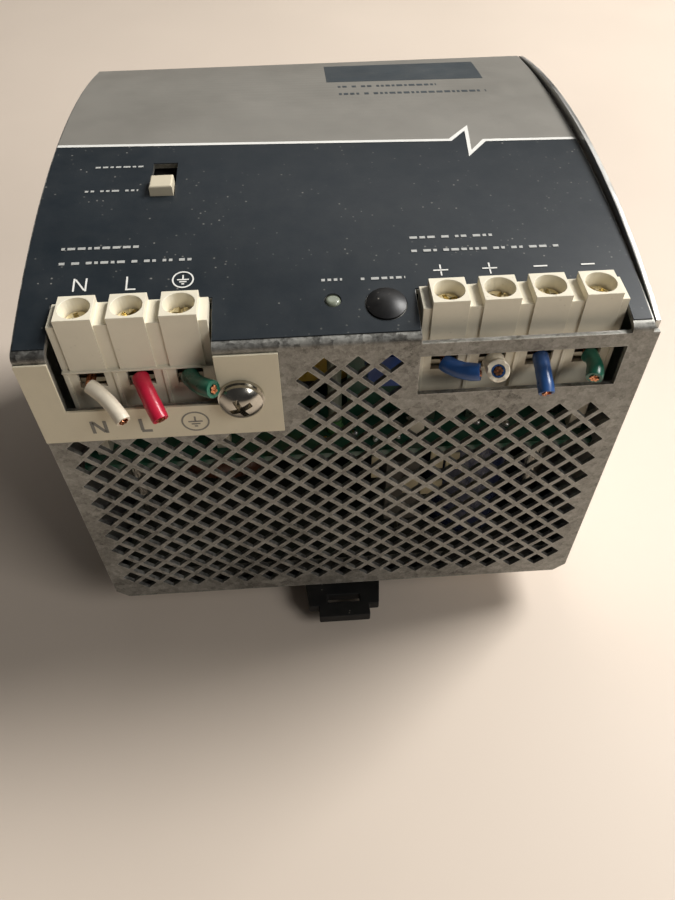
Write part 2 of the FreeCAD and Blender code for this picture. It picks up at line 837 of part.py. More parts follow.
# Parts on the upper board
core_x = -13.7
core_y = 29.0
core_width = 42.0
core_depth = 15.0
core_lift = 2.0
core_clear = 3.4
core_leg = 16.0
core_plate = 5.0
coil_width = 33.4
coil_depth = 22.0
coil_play = 0.2
sink_sheet = 3.0
sink_lift = 1.0
sink_clear = 4.4
sink_left = 10.0
sink_from_right = 6.0
sink_y = 33.0
fin_step = 10.0
fin_sheet = 1.2
fin_depth = 6.0
side_sink_from_left = 8.0
side_sink_near = 44.0
side_sink_far = 22.4
transistor_width = 15.0
transistor_depth = 5.0
transistor_height = 20.0
transistor_lift = 6.0
transistor_gap = 0.2
choke_outer = 16.0
choke_inner = 6.0
choke_height = 12.0
small_can_radius = 5.0
small_can_height = 20.0
small_can_step = 11.0
fuse_length = 20.0
fuse_cap = 5.2
fuse_radius = 2.6
fuse_lift = 4.0

# Parts on the lower board
bulk_radius = 11.0
bulk_clear = 5.3
bulk_step = 27.0
line_choke_outer = 17.0
line_choke_inner = 7.0
line_choke_height = 14.0
filter_size = (8.0, 18.0)
filter_lift = 10.0
filter_clear = 8.3
bridge_size = (22.0, 4.5, 20.0)
bridge_lift = 4.0
pin_step = 5.7


def transformer():
    z0 = board_top + core_lift
    z1 = face_height - core_clear
    low = z0 + core_plate
    high = z1 - core_plate
    core = mid_box(core_x, core_y, core_width, core_depth, z0, z1)
    hollow = mid_box(core_x, core_y, coil_width + 3 * coil_play, core_depth + 2, low, high)
    leg = mid_box(core_x, core_y, core_leg, core_depth, low, high)
    core = core.cut(hollow.cut(leg))
    coil = mid_box(core_x, core_y, coil_width, coil_depth, low + coil_play, high - coil_play)
    coil = rounded(coil, 2.5, lambda b: b.XLength < 0.01 and b.YLength < 0.01)
    bore = core_leg + 2 * coil_play, core_depth + 2 * coil_play
    return core, coil.cut(mid_box(core_x, core_y, *bore, z0, z1))


def ring_coil(x, y, z, outer, inner, height):
    ring = Part.makeTorus((outer + inner) / 2, (outer - inner) / 2, V(x, y, z))
    return ring.common(rod(outer + 1, x, y, z - height / 2, z + height / 2))


def can(x, y, radius, z0, height):
    shape = rod(radius, x, y, z0, z0 + height)
    top = z0 + height
    groove = rod(radius + 1, x, y, z0 + 3, z0 + 4).cut(rod(radius - 0.5, x, y, z0, top))
    return rounded(shape, 0.8, lambda b: b.ZMin > top - 0.01).cut(groove)


def heatsinks():
    z0 = board_top + sink_lift
    z1 = face_height - sink_clear
    back = sink_y + sink_sheet
    right = half_width - sink_from_right
    rear = box(sink_left, right, sink_y, back, z0, z1)
    count = int((right - fin_sheet - sink_left - 2) / fin_step) + 1
    places = [sink_left + 2 + fin_step * k for k in range(count)]
    fins = [box(x, x + fin_sheet, back, back + fin_depth, z0, z1) for x in places]
    x = -half_width + side_sink_from_left
    side = box(x, x + sink_sheet, side_sink_near, case_height - side_sink_far, z0, z1)
    return [rear.fuse(fins), side]


def transistors():
    z0 = board_top + transistor_lift
    z1 = z0 + transistor_height
    w, d = transistor_width, transistor_depth
    y1 = sink_y - transistor_gap
    first = [box(x, x + w, y1 - d, y1, z0, z1) for x in (sink_left + 4, sink_left + 24)]
    x0 = -half_width + side_sink_from_left + sink_sheet + transistor_gap
    second = [box(x0, x0 + d, y, y + w, z0, z1) for y in (side_sink_near + 6, side_sink_near + 34)]
    return first + second


def fuse_link(x, y):
    z = board_top + fuse_lift
    y1 = y + fuse_length
    glass = bar(fuse_radius - 0.2, x, y + fuse_cap, y1 - fuse_cap, z)
    caps = [bar(fuse_radius, x, y, y + fuse_cap, z), bar(fuse_radius, x, y1 - fuse_cap, y1, z)]
    middles = (y + fuse_cap / 2, y1 - fuse_cap / 2)
    clips = [mid_box(x, middle, 1.5 * fuse_radius, 2, board_top, z) for middle in middles]
    return glass.fuse(caps + clips)


def filter_capacitor(x, y):
    z0 = lower_board_z + board_sheet
    low = z0 + filter_lift
    body = mid_box(x, y, *filter_size, low, upper_board_z - filter_clear)
    return body.fuse([rod(0.5, x, y + side * filter_size[1] / 3, z0, low) for side in (-1, 1)])


def bridge_rectifier(x, y):
    z0 = lower_board_z + board_sheet
    low = z0 + bridge_lift
    width, depth, height = bridge_size
    body = mid_box(x, y, width, depth, low, low + height)
    return body.fuse([mid_box(x + (k - 1.5) * pin_step, y, 1.2, 0.8, z0, low) for k in range(4)])


def inner_parts():
    z0 = lower_board_z + board_sheet
    core, coil = transformer()
    save("transformer_core", core)
    save("transformer_winding", coil)
    ring = (choke_outer, choke_inner, choke_height)
    save("output_choke", ring_coil(30.0, 64.0, board_top + choke_height * 0.75, *ring))
    places = [20.0 + small_can_step * k for k in range(3)]
    small = (small_can_radius, board_top, small_can_height)
    save("output_capacitors", *[can(x, 22.0, *small) for x in places])
    save("heatsinks", *heatsinks())
    save("power_transistors", *transistors())
    bulk = (bulk_radius, z0, upper_board_z - z0 - bulk_clear)
    save("bulk_capacitors", *[can(33.0, 19.0 + bulk_step * k, *bulk) for k in range(2)])
    ring = (line_choke_outer, line_choke_inner, line_choke_height)
    save("line_choke", ring_coil(-30.0, 40.0, z0 + 12.0, *ring))
    save("filter_capacitor", filter_capacitor(15.0, 16.0))
    save("bridge_rectifier", bridge_rectifier(-1.0, 72.25))
    save("fuse", fuse_link(-45.0, 20.0))


def foot():
    # rail foot: a hollow block with the latch channel, the spring pocket and the fixed hook
    half = foot_width / 2
    low = -foot_height
    body = box(-half, half, foot_low, foot_high, low, 0)
    hook_half = half - foot_wall
    hook = box(-hook_half, hook_half, hook_edge, hook_edge + hook_base, low - hook_drop, low)
    lip = low - rail_sheet - rail_play
    tongue = box(-hook_half, hook_half, hook_edge - hook_lap, hook_edge + 1, low - hook_drop, lip)
    wedge = rounded(tongue, 1.6, lambda b: b.YMax < hook_edge - hook_lap + 0.01 and b.ZMax < lip - 1)
    body = body.fuse([hook, wedge])
    channel_end = latch_edge + hook_lap + latch_play + 1
    width = latch_width + 2 * latch_play
    roof = low + latch_sheet + latch_play
    channel = box(-width / 2, width / 2, foot_low - 1, channel_end, low - 1, roof)
    groove_half = width / 2 + latch_wing
    groove_low = roof - latch_wing_sheet - latch_play
    wings = box(-groove_half, groove_half, foot_low - 1, channel_end, groove_low, roof)
    pocket_half = pocket_width / 2
    pocket = box(-pocket_half, pocket_half, spring_near, spring_far + pocket_half, roof - 1, -pocket_roof)
    holes = []
    for x, y in foot_screw_places():
        holes.append(rod(screw3_radius + 0.2, x, y, low - 1, 1))
        holes.append(rod(screw3_head + latch_play, x, y, low - 1, low + screw_sink))
    relief_near = hook_edge - hook_lap - rail_play
    relief = box(-half, half, relief_near, hook_edge, low - 0.01, low + seat_step)
    side = half - foot_wall - 1
    lighten = []
    for k in (1, 2):
        y0 = hook_edge + 3 - lighten_step * k
        lighten.append(box(-side, side, y0, y0 + lighten_width, low + foot_wall, 0.5))
    return body.cut([channel, wings, pocket, relief] + holes + lighten)


def latch():
    low = -foot_height
    top = low + latch_sheet
    half = latch_width / 2
    tip = latch_tip_width / 2
    end = latch_edge + hook_lap
    outline = [(-tip, -latch_reach), (tip, -latch_reach), (tip, -latch_step), (half - 1, -latch_step)]
    outline += [(half, foot_low), (half, latch_edge), (-half, latch_edge), (-half, foot_low)]
    outline += [(-half + 1, -latch_step), (-tip, -latch_step)]
    points = [V(x, y, low) for x, y in outline]
    body = Part.Face(Part.makePolygon(points + points[:1])).extrude(V(0, 0, latch_sheet))
    wing = half + latch_wing - 0.1
    wings = box(-wing, wing, foot_low + latch_travel + 2, latch_edge, top - latch_wing_sheet, top)
    hook = box(-half, half, latch_edge - hook_base, latch_edge, low - hook_drop, low)
    lip = box(-half, half, latch_edge - 1, end, low - hook_drop, low - rail_sheet - rail_play)
    lip = lip.makeChamfer(hook_chamfer, [e for e in lip.Edges if e.BoundBox.YMin > end - 0.01
                                         and e.BoundBox.ZMax < low - hook_drop + 0.01])
    boss_near = spring_far + spring_play
    boss = mid_box(0, boss_near + boss_length / 2, boss_width, boss_length, top, -boss_gap)
    slot_y = -latch_slot_edge - latch_slot_height / 2
    slot = mid_box(0, slot_y, latch_slot_width, latch_slot_height, low - 1, top + 1)
    return body.fuse([wings, hook, lip, boss]).cut(slot).removeSplitter()


def latch_spring():
    length = spring_room - 2 * spring_play - spring_wire
    helix = Part.makeHelix(length / spring_turns, length, spring_radius)
    ring = Part.Wire(Part.Circle(V(spring_radius, 0, 0), V(0, 1, 0), spring_wire / 2).toShape())
    coil = Part.Wire(helix.Edges).makePipeShell([ring], True, True)
    coil.rotate(V(0, 0, 0), V(1, 0, 0), -90)
    z = (-foot_height + latch_sheet - pocket_roof) / 2
    coil.translate(V(0, spring_near + spring_play + spring_wire / 2, z))
    return coil


def foot_screws():
    screws = []
    for x, y in foot_screw_places():
        screw = small_screw(screw3_length)
        screw.rotate(V(0, 0, 0), V(1, 0, 0), 180)
        screw.translate(V(x, y, -foot_height + screw_sink))
        screws.append(screw)
    return screws


def hood_screws():
    screws = []
    for x, y in flange_places():
        screw = small_screw(hood_screw_length)
        screw.rotate(V(0, 0, 0), V(1, 0, 0), 180)
        screw.translate(V(x, y, 0))
        screws.append(screw)
    return screws


def terminals():
    groups = (("input", input_centre, input_poles), ("output", output_centre, output_poles))
    for side, centre, poles in groups:
        places = [pole_x(centre, poles, index) for index in range(poles)]
        save(side + "_terminal_block", terminal_block(centre, poles))
        save(side + "_busbars", *[busbar(x) for x in places])
        for index, x in enumerate(places):
            turn = 20 + 35 * index
            save("%s_screw_%d" % (side, index + 1), terminal_screw(x, turn))
            save("%s_clamp_%d" % (side, index + 1), clamp_cage(x))


os.makedirs("parts", exist_ok=True)
save("chassis", chassis())
save("hood", hood())
save("front_foil", front_foil())
save("insulating_plate", insulating_plate())
save("earth_screw", earth_screw())
save("earth_washer", earth_washer())
terminals()
wires()
save("selector_body", selector_body())
save("selector_knob", selector_knob())
save("light_guide", light_guide())
save("indicator_led", indicator_led())
save("adjuster_board", adjuster_board())
save("trimmer_body", trimmer_body())
save("trimmer_rotor", trimmer_rotor())
save("adjuster_plug", adjuster_plug())
save("upper_board", upper_board())
save("lower_board", lower_board())
save("insulating_sheet", insulating_sheet())
save("lower_posts", *lower_posts())
save("upper_posts", *upper_posts())
save("board_screws", *board_screws())
inner_parts()
save("rail_foot", foot())
save("rail_latch", latch())
save("latch_spring", latch_spring())
save("foot_screws", *foot_screws())
save("hood_screws", *hood_screws())
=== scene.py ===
import bpy
import bmesh
import math
import random
from mathutils import Matrix, Vector


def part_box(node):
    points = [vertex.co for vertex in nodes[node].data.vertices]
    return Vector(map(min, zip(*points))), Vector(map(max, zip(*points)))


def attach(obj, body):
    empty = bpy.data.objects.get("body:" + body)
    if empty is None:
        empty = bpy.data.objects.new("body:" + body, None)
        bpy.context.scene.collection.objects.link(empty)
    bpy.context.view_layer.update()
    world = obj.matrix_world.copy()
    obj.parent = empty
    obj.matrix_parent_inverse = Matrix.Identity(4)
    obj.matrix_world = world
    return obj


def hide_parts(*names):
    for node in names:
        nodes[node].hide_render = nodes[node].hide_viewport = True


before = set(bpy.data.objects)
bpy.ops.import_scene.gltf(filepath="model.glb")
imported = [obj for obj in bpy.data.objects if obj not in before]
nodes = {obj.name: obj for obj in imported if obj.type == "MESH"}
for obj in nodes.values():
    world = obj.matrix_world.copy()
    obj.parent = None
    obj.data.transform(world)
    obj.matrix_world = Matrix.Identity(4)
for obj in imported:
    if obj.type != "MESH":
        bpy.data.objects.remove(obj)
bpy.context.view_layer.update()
print("frame loaded:", len(nodes), "nodes")

mm = 0.001
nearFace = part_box("hood")[0].y        # outside of the lower end face
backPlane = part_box("chassis")[0].z    # rear of the back plate
dice = random.Random(7)


def at(x, y, z):
    # a point in millimetres from the middle, the lower face and the back plate
    return Vector((x * mm, nearFace + y * mm, backPlane + z * mm))


def addNode(tree, kind, settings=None, **values):
    node = tree.nodes.new(kind)
    for key, value in (settings or {}).items():
        setattr(node, key, value)
    for key, value in values.items():
        node.inputs[key.replace("_", " ")].default_value = value
    return node


def wire(tree, source, target):
    tree.links.new(source, target)


def newGroup(name, inputs, outputs):
    tree = bpy.data.node_groups.new(name, "ShaderNodeTree")
    for label, kind, value in inputs:
        socket = tree.interface.new_socket(name=label, in_out="INPUT", socket_type=kind)
        socket.default_value = value
    for label, kind in outputs:
        tree.interface.new_socket(name=label, in_out="OUTPUT", socket_type=kind)
    return tree, addNode(tree, "NodeGroupInput"), addNode(tree, "NodeGroupOutput")


def maths(tree, operation, first, second=None):
    node = addNode(tree, "ShaderNodeMath", {"operation": operation})
    for index, value in enumerate((first, second)):
        if value is None:
            continue
        if isinstance(value, (int, float)):
            node.inputs[index].default_value = value
        else:
            wire(tree, value, node.inputs[index])
    return node.outputs[0]


def blendColours(tree, share, first, second, mode="MIX"):
    node = addNode(tree, "ShaderNodeMix", {"data_type": "RGBA", "blend_type": mode})
    for socket, value in ((node.inputs[0], share), (node.inputs[6], first), (node.inputs[7], second)):
        if isinstance(value, (int, float, tuple)):
            socket.default_value = value
        else:
            wire(tree, value, socket)
    return node.outputs[2]


def spread(tree, value, low, high, toLow=0.0, toHigh=1.0):
    node = addNode(tree, "ShaderNodeMapRange")
    wire(tree, value, node.inputs[0])
    for index, number in enumerate((low, high, toLow, toHigh)):
        if isinstance(number, (int, float)):
            node.inputs[index + 1].default_value = number
        else:
            wire(tree, number, node.inputs[index + 1])
    return node.outputs[0]


def scaleTone(tree, enter, leave, factor):
    # the colour that comes in leaves darker or lighter by the factor
    grey = addNode(tree, "ShaderNodeCombineColor")
    for index in range(3):
        wire(tree, factor, grey.inputs[index])
    toned = blendColours(tree, 1.0, enter.outputs["Color"], grey.outputs[0], "MULTIPLY")
    wire(tree, toned, leave.inputs["Color"])


def makeToneGroup():
    # slow, blotchy change of tone that moulded and painted parts pick up with age
    inputs = [("Color", "NodeSocketColor", (1, 1, 1, 1)), ("Scale", "NodeSocketFloat", 90.0),
              ("Amount", "NodeSocketFloat", 0.15)]
    outputs = [("Color", "NodeSocketColor"), ("Value", "NodeSocketFloat")]
    tree, enter, leave = newGroup("unevenTone", inputs, outputs)
    place = addNode(tree, "ShaderNodeTexCoord").outputs["Object"]
    noise = addNode(tree, "ShaderNodeTexNoise", Detail=5.0, Roughness=0.6)
    wire(tree, place, noise.inputs["Vector"])
    wire(tree, enter.outputs["Scale"], noise.inputs["Scale"])
    value = spread(tree, noise.outputs[0], 0.3, 0.7, -1.0, 1.0)
    factor = maths(tree, "ADD", 1.0, maths(tree, "MULTIPLY", value, enter.outputs["Amount"]))
    scaleTone(tree, enter, leave, factor)
    wire(tree, noise.outputs[0], leave.inputs["Value"])
    return tree


def makeGrainGroup():
    # fine surface grain as a height, with a second coarser ripple
    inputs = [("Scale", "NodeSocketFloat", 3000.0), ("Ripple", "NodeSocketFloat", 0.2)]
    tree, enter, leave = newGroup("fineGrain", inputs, [("Height", "NodeSocketFloat")])
    place = addNode(tree, "ShaderNodeTexCoord").outputs["Object"]
    fine = addNode(tree, "ShaderNodeTexNoise", Detail=3.0, Roughness=0.65)
    coarse = addNode(tree, "ShaderNodeTexNoise", Detail=2.0)
    for noise in (fine, coarse):
        wire(tree, place, noise.inputs["Vector"])
    wire(tree, enter.outputs["Scale"], fine.inputs["Scale"])
    wire(tree, maths(tree, "MULTIPLY", enter.outputs["Scale"], 0.08), coarse.inputs["Scale"])
    slow = maths(tree, "MULTIPLY", coarse.outputs[0], enter.outputs["Ripple"])
    wire(tree, maths(tree, "ADD", fine.outputs[0], slow), leave.inputs["Height"])
    return tree


def makeWearAndHighlightGroup():
    # mask of edges lightened partly as wear and partly as a painted highlight where edges catch the light,
    # broken up by noise
    inputs = [("Width", "NodeSocketFloat", 0.3), ("Amount", "NodeSocketFloat", 1.0),
              ("Scale", "NodeSocketFloat", 900.0)]
    tree, enter, leave = newGroup("edgeWearAndHighlight", inputs, [("Mask", "NodeSocketFloat")])
    soft = addNode(tree, "ShaderNodeBevel", {"samples": 4})
    wire(tree, maths(tree, "MULTIPLY", enter.outputs["Width"], mm), soft.inputs["Radius"])
    sharp = addNode(tree, "ShaderNodeNewGeometry").outputs["True Normal"]
    turn = addNode(tree, "ShaderNodeVectorMath", {"operation": "DOT_PRODUCT"})
    wire(tree, soft.outputs[0], turn.inputs[0])
    wire(tree, sharp, turn.inputs[1])
    edge = spread(tree, turn.outputs["Value"], 1.0, 0.9)
    place = addNode(tree, "ShaderNodeTexCoord").outputs["Object"]
    noise = addNode(tree, "ShaderNodeTexNoise", Detail=4.0)
    wire(tree, place, noise.inputs["Vector"])
    wire(tree, enter.outputs["Scale"], noise.inputs["Scale"])
    broken = maths(tree, "MULTIPLY", edge, spread(tree, noise.outputs[0], 0.35, 0.6))
    wire(tree, maths(tree, "MULTIPLY", broken, enter.outputs["Amount"]), leave.inputs["Mask"])
    return tree


def makeDustGroup():
    # dust that lies on faces turned up, thicker in patches, with specks
    inputs = [("Color", "NodeSocketColor", (1, 1, 1, 1)),
              ("Dust Color", "NodeSocketColor", (0.5, 0.46, 0.4, 1)),
              ("Amount", "NodeSocketFloat", 0.2), ("Specks", "NodeSocketFloat", 0.2)]
    outputs = [("Color", "NodeSocketColor"), ("Mask", "NodeSocketFloat")]
    tree, enter, leave = newGroup("dustLayer", inputs, outputs)
    place = addNode(tree, "ShaderNodeTexCoord").outputs["Object"]
    up = addNode(tree, "ShaderNodeSeparateXYZ")
    wire(tree, addNode(tree, "ShaderNodeNewGeometry").outputs["Normal"], up.inputs[0])
    upward = spread(tree, up.outputs["Z"], -0.2, 1.0, 0.25, 1.0)
    patch = addNode(tree, "ShaderNodeTexNoise", Scale=160.0, Detail=8.0, Roughness=0.7)
    fleck = addNode(tree, "ShaderNodeTexVoronoi", Scale=650.0, Randomness=1.0)
    for node in (patch, fleck):
        wire(tree, place, node.inputs["Vector"])
    thick = spread(tree, patch.outputs[0], 0.35, 0.75)
    cloud = maths(tree, "MULTIPLY", thick, enter.outputs["Amount"])
    dots = spread(tree, fleck.outputs["Distance"], 0.16, 0.1)
    speck = maths(tree, "MULTIPLY", dots, enter.outputs["Specks"])
    rare = spread(tree, patch.outputs[0], 0.5, 0.6)
    both = maths(tree, "ADD", cloud, maths(tree, "MULTIPLY", speck, rare))
    total = maths(tree, "MULTIPLY", both, upward)
    dusted = blendColours(tree, total, enter.outputs["Color"], enter.outputs["Dust Color"])
    wire(tree, dusted, leave.inputs["Color"])
    wire(tree, total, leave.inputs["Mask"])
    return tree


def makeSpangleGroup():
    # zinc crystals: patches of slightly different brightness with fine mottling
    inputs = [("Color", "NodeSocketColor", (0.5, 0.5, 0.48, 1)), ("Crystal Scale", "NodeSocketFloat", 420.0),
              ("Contrast", "NodeSocketFloat", 0.25)]
    outputs = [("Color", "NodeSocketColor"), ("Value", "NodeSocketFloat")]
    tree, enter, leave = newGroup("zincSpangle", inputs, outputs)
    place = addNode(tree, "ShaderNodeTexCoord").outputs["Object"]
    crystal = addNode(tree, "ShaderNodeTexVoronoi", Randomness=1.0)
    mottle = addNode(tree, "ShaderNodeTexNoise", Scale=1500.0, Detail=4.0, Roughness=0.75)
    stain = addNode(tree, "ShaderNodeTexNoise", Scale=60.0, Detail=4.0)
    warp = addNode(tree, "ShaderNodeVectorMath", {"operation": "MULTIPLY_ADD"})
    wire(tree, mottle.outputs["Color"], warp.inputs[0])
    warp.inputs[1].default_value = (0.0015, 0.0015, 0.0015)
    wire(tree, place, warp.inputs[2])
    wire(tree, warp.outputs[0], crystal.inputs["Vector"])
    wire(tree, enter.outputs["Crystal Scale"], crystal.inputs["Scale"])
    for node in (mottle, stain):
        wire(tree, place, node.inputs["Vector"])
    cell = addNode(tree, "ShaderNodeSeparateColor")
    wire(tree, crystal.outputs["Color"], cell.inputs[0])
    shade = maths(tree, "ADD", spread(tree, cell.outputs[0], 0.0, 1.0, -1.0, 1.0),
                  spread(tree, mottle.outputs[0], 0.3, 0.7, -1.2, 1.2))
    shade = maths(tree, "ADD", shade, spread(tree, stain.outputs[0], 0.3, 0.7, -0.8, 0.8))
    factor = maths(tree, "ADD", 1.0, maths(tree, "MULTIPLY", shade, enter.outputs["Contrast"]))
    scaleTone(tree, enter, leave, factor)
    wire(tree, spread(tree, shade, -2.0, 2.0), leave.inputs["Value"])
    return tree


def makeDrawnGroup():
    # drawing or brushing lines along one axis, as a height
    inputs = [("Along", "NodeSocketVector", (40.0, 2500.0, 2500.0))]
    tree, enter, leave = newGroup("drawnLines", inputs, [("Height", "NodeSocketFloat")])
    place = addNode(tree, "ShaderNodeTexCoord").outputs["Object"]
    stretch = addNode(tree, "ShaderNodeVectorMath", {"operation": "MULTIPLY"})
    wire(tree, place, stretch.inputs[0])
    wire(tree, enter.outputs["Along"], stretch.inputs[1])
    noise = addNode(tree, "ShaderNodeTexNoise", Scale=1.0, Detail=4.0, Roughness=0.7)
    wire(tree, stretch.outputs[0], noise.inputs["Vector"])
    wire(tree, noise.outputs[0], leave.inputs["Height"])
    return tree


toneGroup = makeToneGroup()
grainGroup = makeGrainGroup()
wearAndHighlightGroup = makeWearAndHighlightGroup()
dustGroup = makeDustGroup()
spangleGroup = makeSpangleGroup()
drawnGroup = makeDrawnGroup()
print("shared effects built")


paleDust = (0.42, 0.38, 0.31, 1)
grime = (0.2, 0.17, 0.12, 1)
dustRoughens = 0.5    # added roughness under full dust
coatRoughness = 0.15


def makeFinish(name, colour, rough=0.5, roughSpan=0.12, metal=0.0, tone=0.1, toneScale=90.0, grain=3000.0,
               bump=0.15, depth=0.03, wearAndHighlight=0.0, wearAndHighlightColour=(0.8, 0.78, 0.72, 1), wearAndHighlightWidth=0.25, dust=0.1,
               specks=0.15, dustColour=paleDust, coat=0.0, drawn=None, spangle=None, transmit=0.0, level=0.5):
    # depth and wearAndHighlightWidth in millimetres; spangle is crystal scale and contrast
    finish = bpy.data.materials.new(name)
    finish.use_nodes = True
    tree = finish.node_tree
    shader = tree.nodes["Principled BSDF"]
    base = addNode(tree, "ShaderNodeGroup", {"node_tree": toneGroup}, Scale=toneScale, Amount=tone)
    base.inputs["Color"].default_value = (*colour, 1)
    colourNow, value = base.outputs["Color"], base.outputs["Value"]
    if spangle:
        crystals, contrast = spangle
        zinc = addNode(tree, "ShaderNodeGroup", {"node_tree": spangleGroup}, Crystal_Scale=crystals,
                       Contrast=contrast)
        wire(tree, colourNow, zinc.inputs["Color"])
        colourNow, value = zinc.outputs["Color"], zinc.outputs["Value"]
    # edges take a lighter colour: partly wear, partly a painted highlight along every sharp edge
    if wearAndHighlight:
        wornAndLit = addNode(tree, "ShaderNodeGroup", {"node_tree": wearAndHighlightGroup}, Width=wearAndHighlightWidth, Amount=wearAndHighlight)
        colourNow = blendColours(tree, wornAndLit.outputs["Mask"], colourNow, wearAndHighlightColour)
    dusty = addNode(tree, "ShaderNodeGroup", {"node_tree": dustGroup}, Amount=dust, Specks=specks)
    dusty.inputs["Dust Color"].default_value = dustColour
    wire(tree, colourNow, dusty.inputs["Color"])
    wire(tree, dusty.outputs["Color"], shader.inputs["Base Color"])
    roughNow = spread(tree, value, 0.2, 0.8, rough - roughSpan, rough + roughSpan)
    dustedRough = maths(tree, "MULTIPLY", dusty.outputs["Mask"], dustRoughens)
    wire(tree, maths(tree, "ADD", roughNow, dustedRough), shader.inputs["Roughness"])
    bumpNode = addNode(tree, "ShaderNodeBump", Strength=bump, Distance=depth * mm)
    if drawn:
        lines = addNode(tree, "ShaderNodeGroup", {"node_tree": drawnGroup})
        lines.inputs["Along"].default_value = drawn
        wire(tree, lines.outputs["Height"], bumpNode.inputs["Height"])
    else:
        grainNode = addNode(tree, "ShaderNodeGroup", {"node_tree": grainGroup}, Scale=grain)
        wire(tree, grainNode.outputs["Height"], bumpNode.inputs["Height"])
    wire(tree, bumpNode.outputs["Normal"], shader.inputs["Normal"])
    shader.inputs["Metallic"].default_value = metal
    shader.inputs["Coat Weight"].default_value = coat
    shader.inputs["Coat Roughness"].default_value = coatRoughness
    shader.inputs["Specular IOR Level"].default_value = level
    shader.inputs["Transmission Weight"].default_value = transmit
    return finish


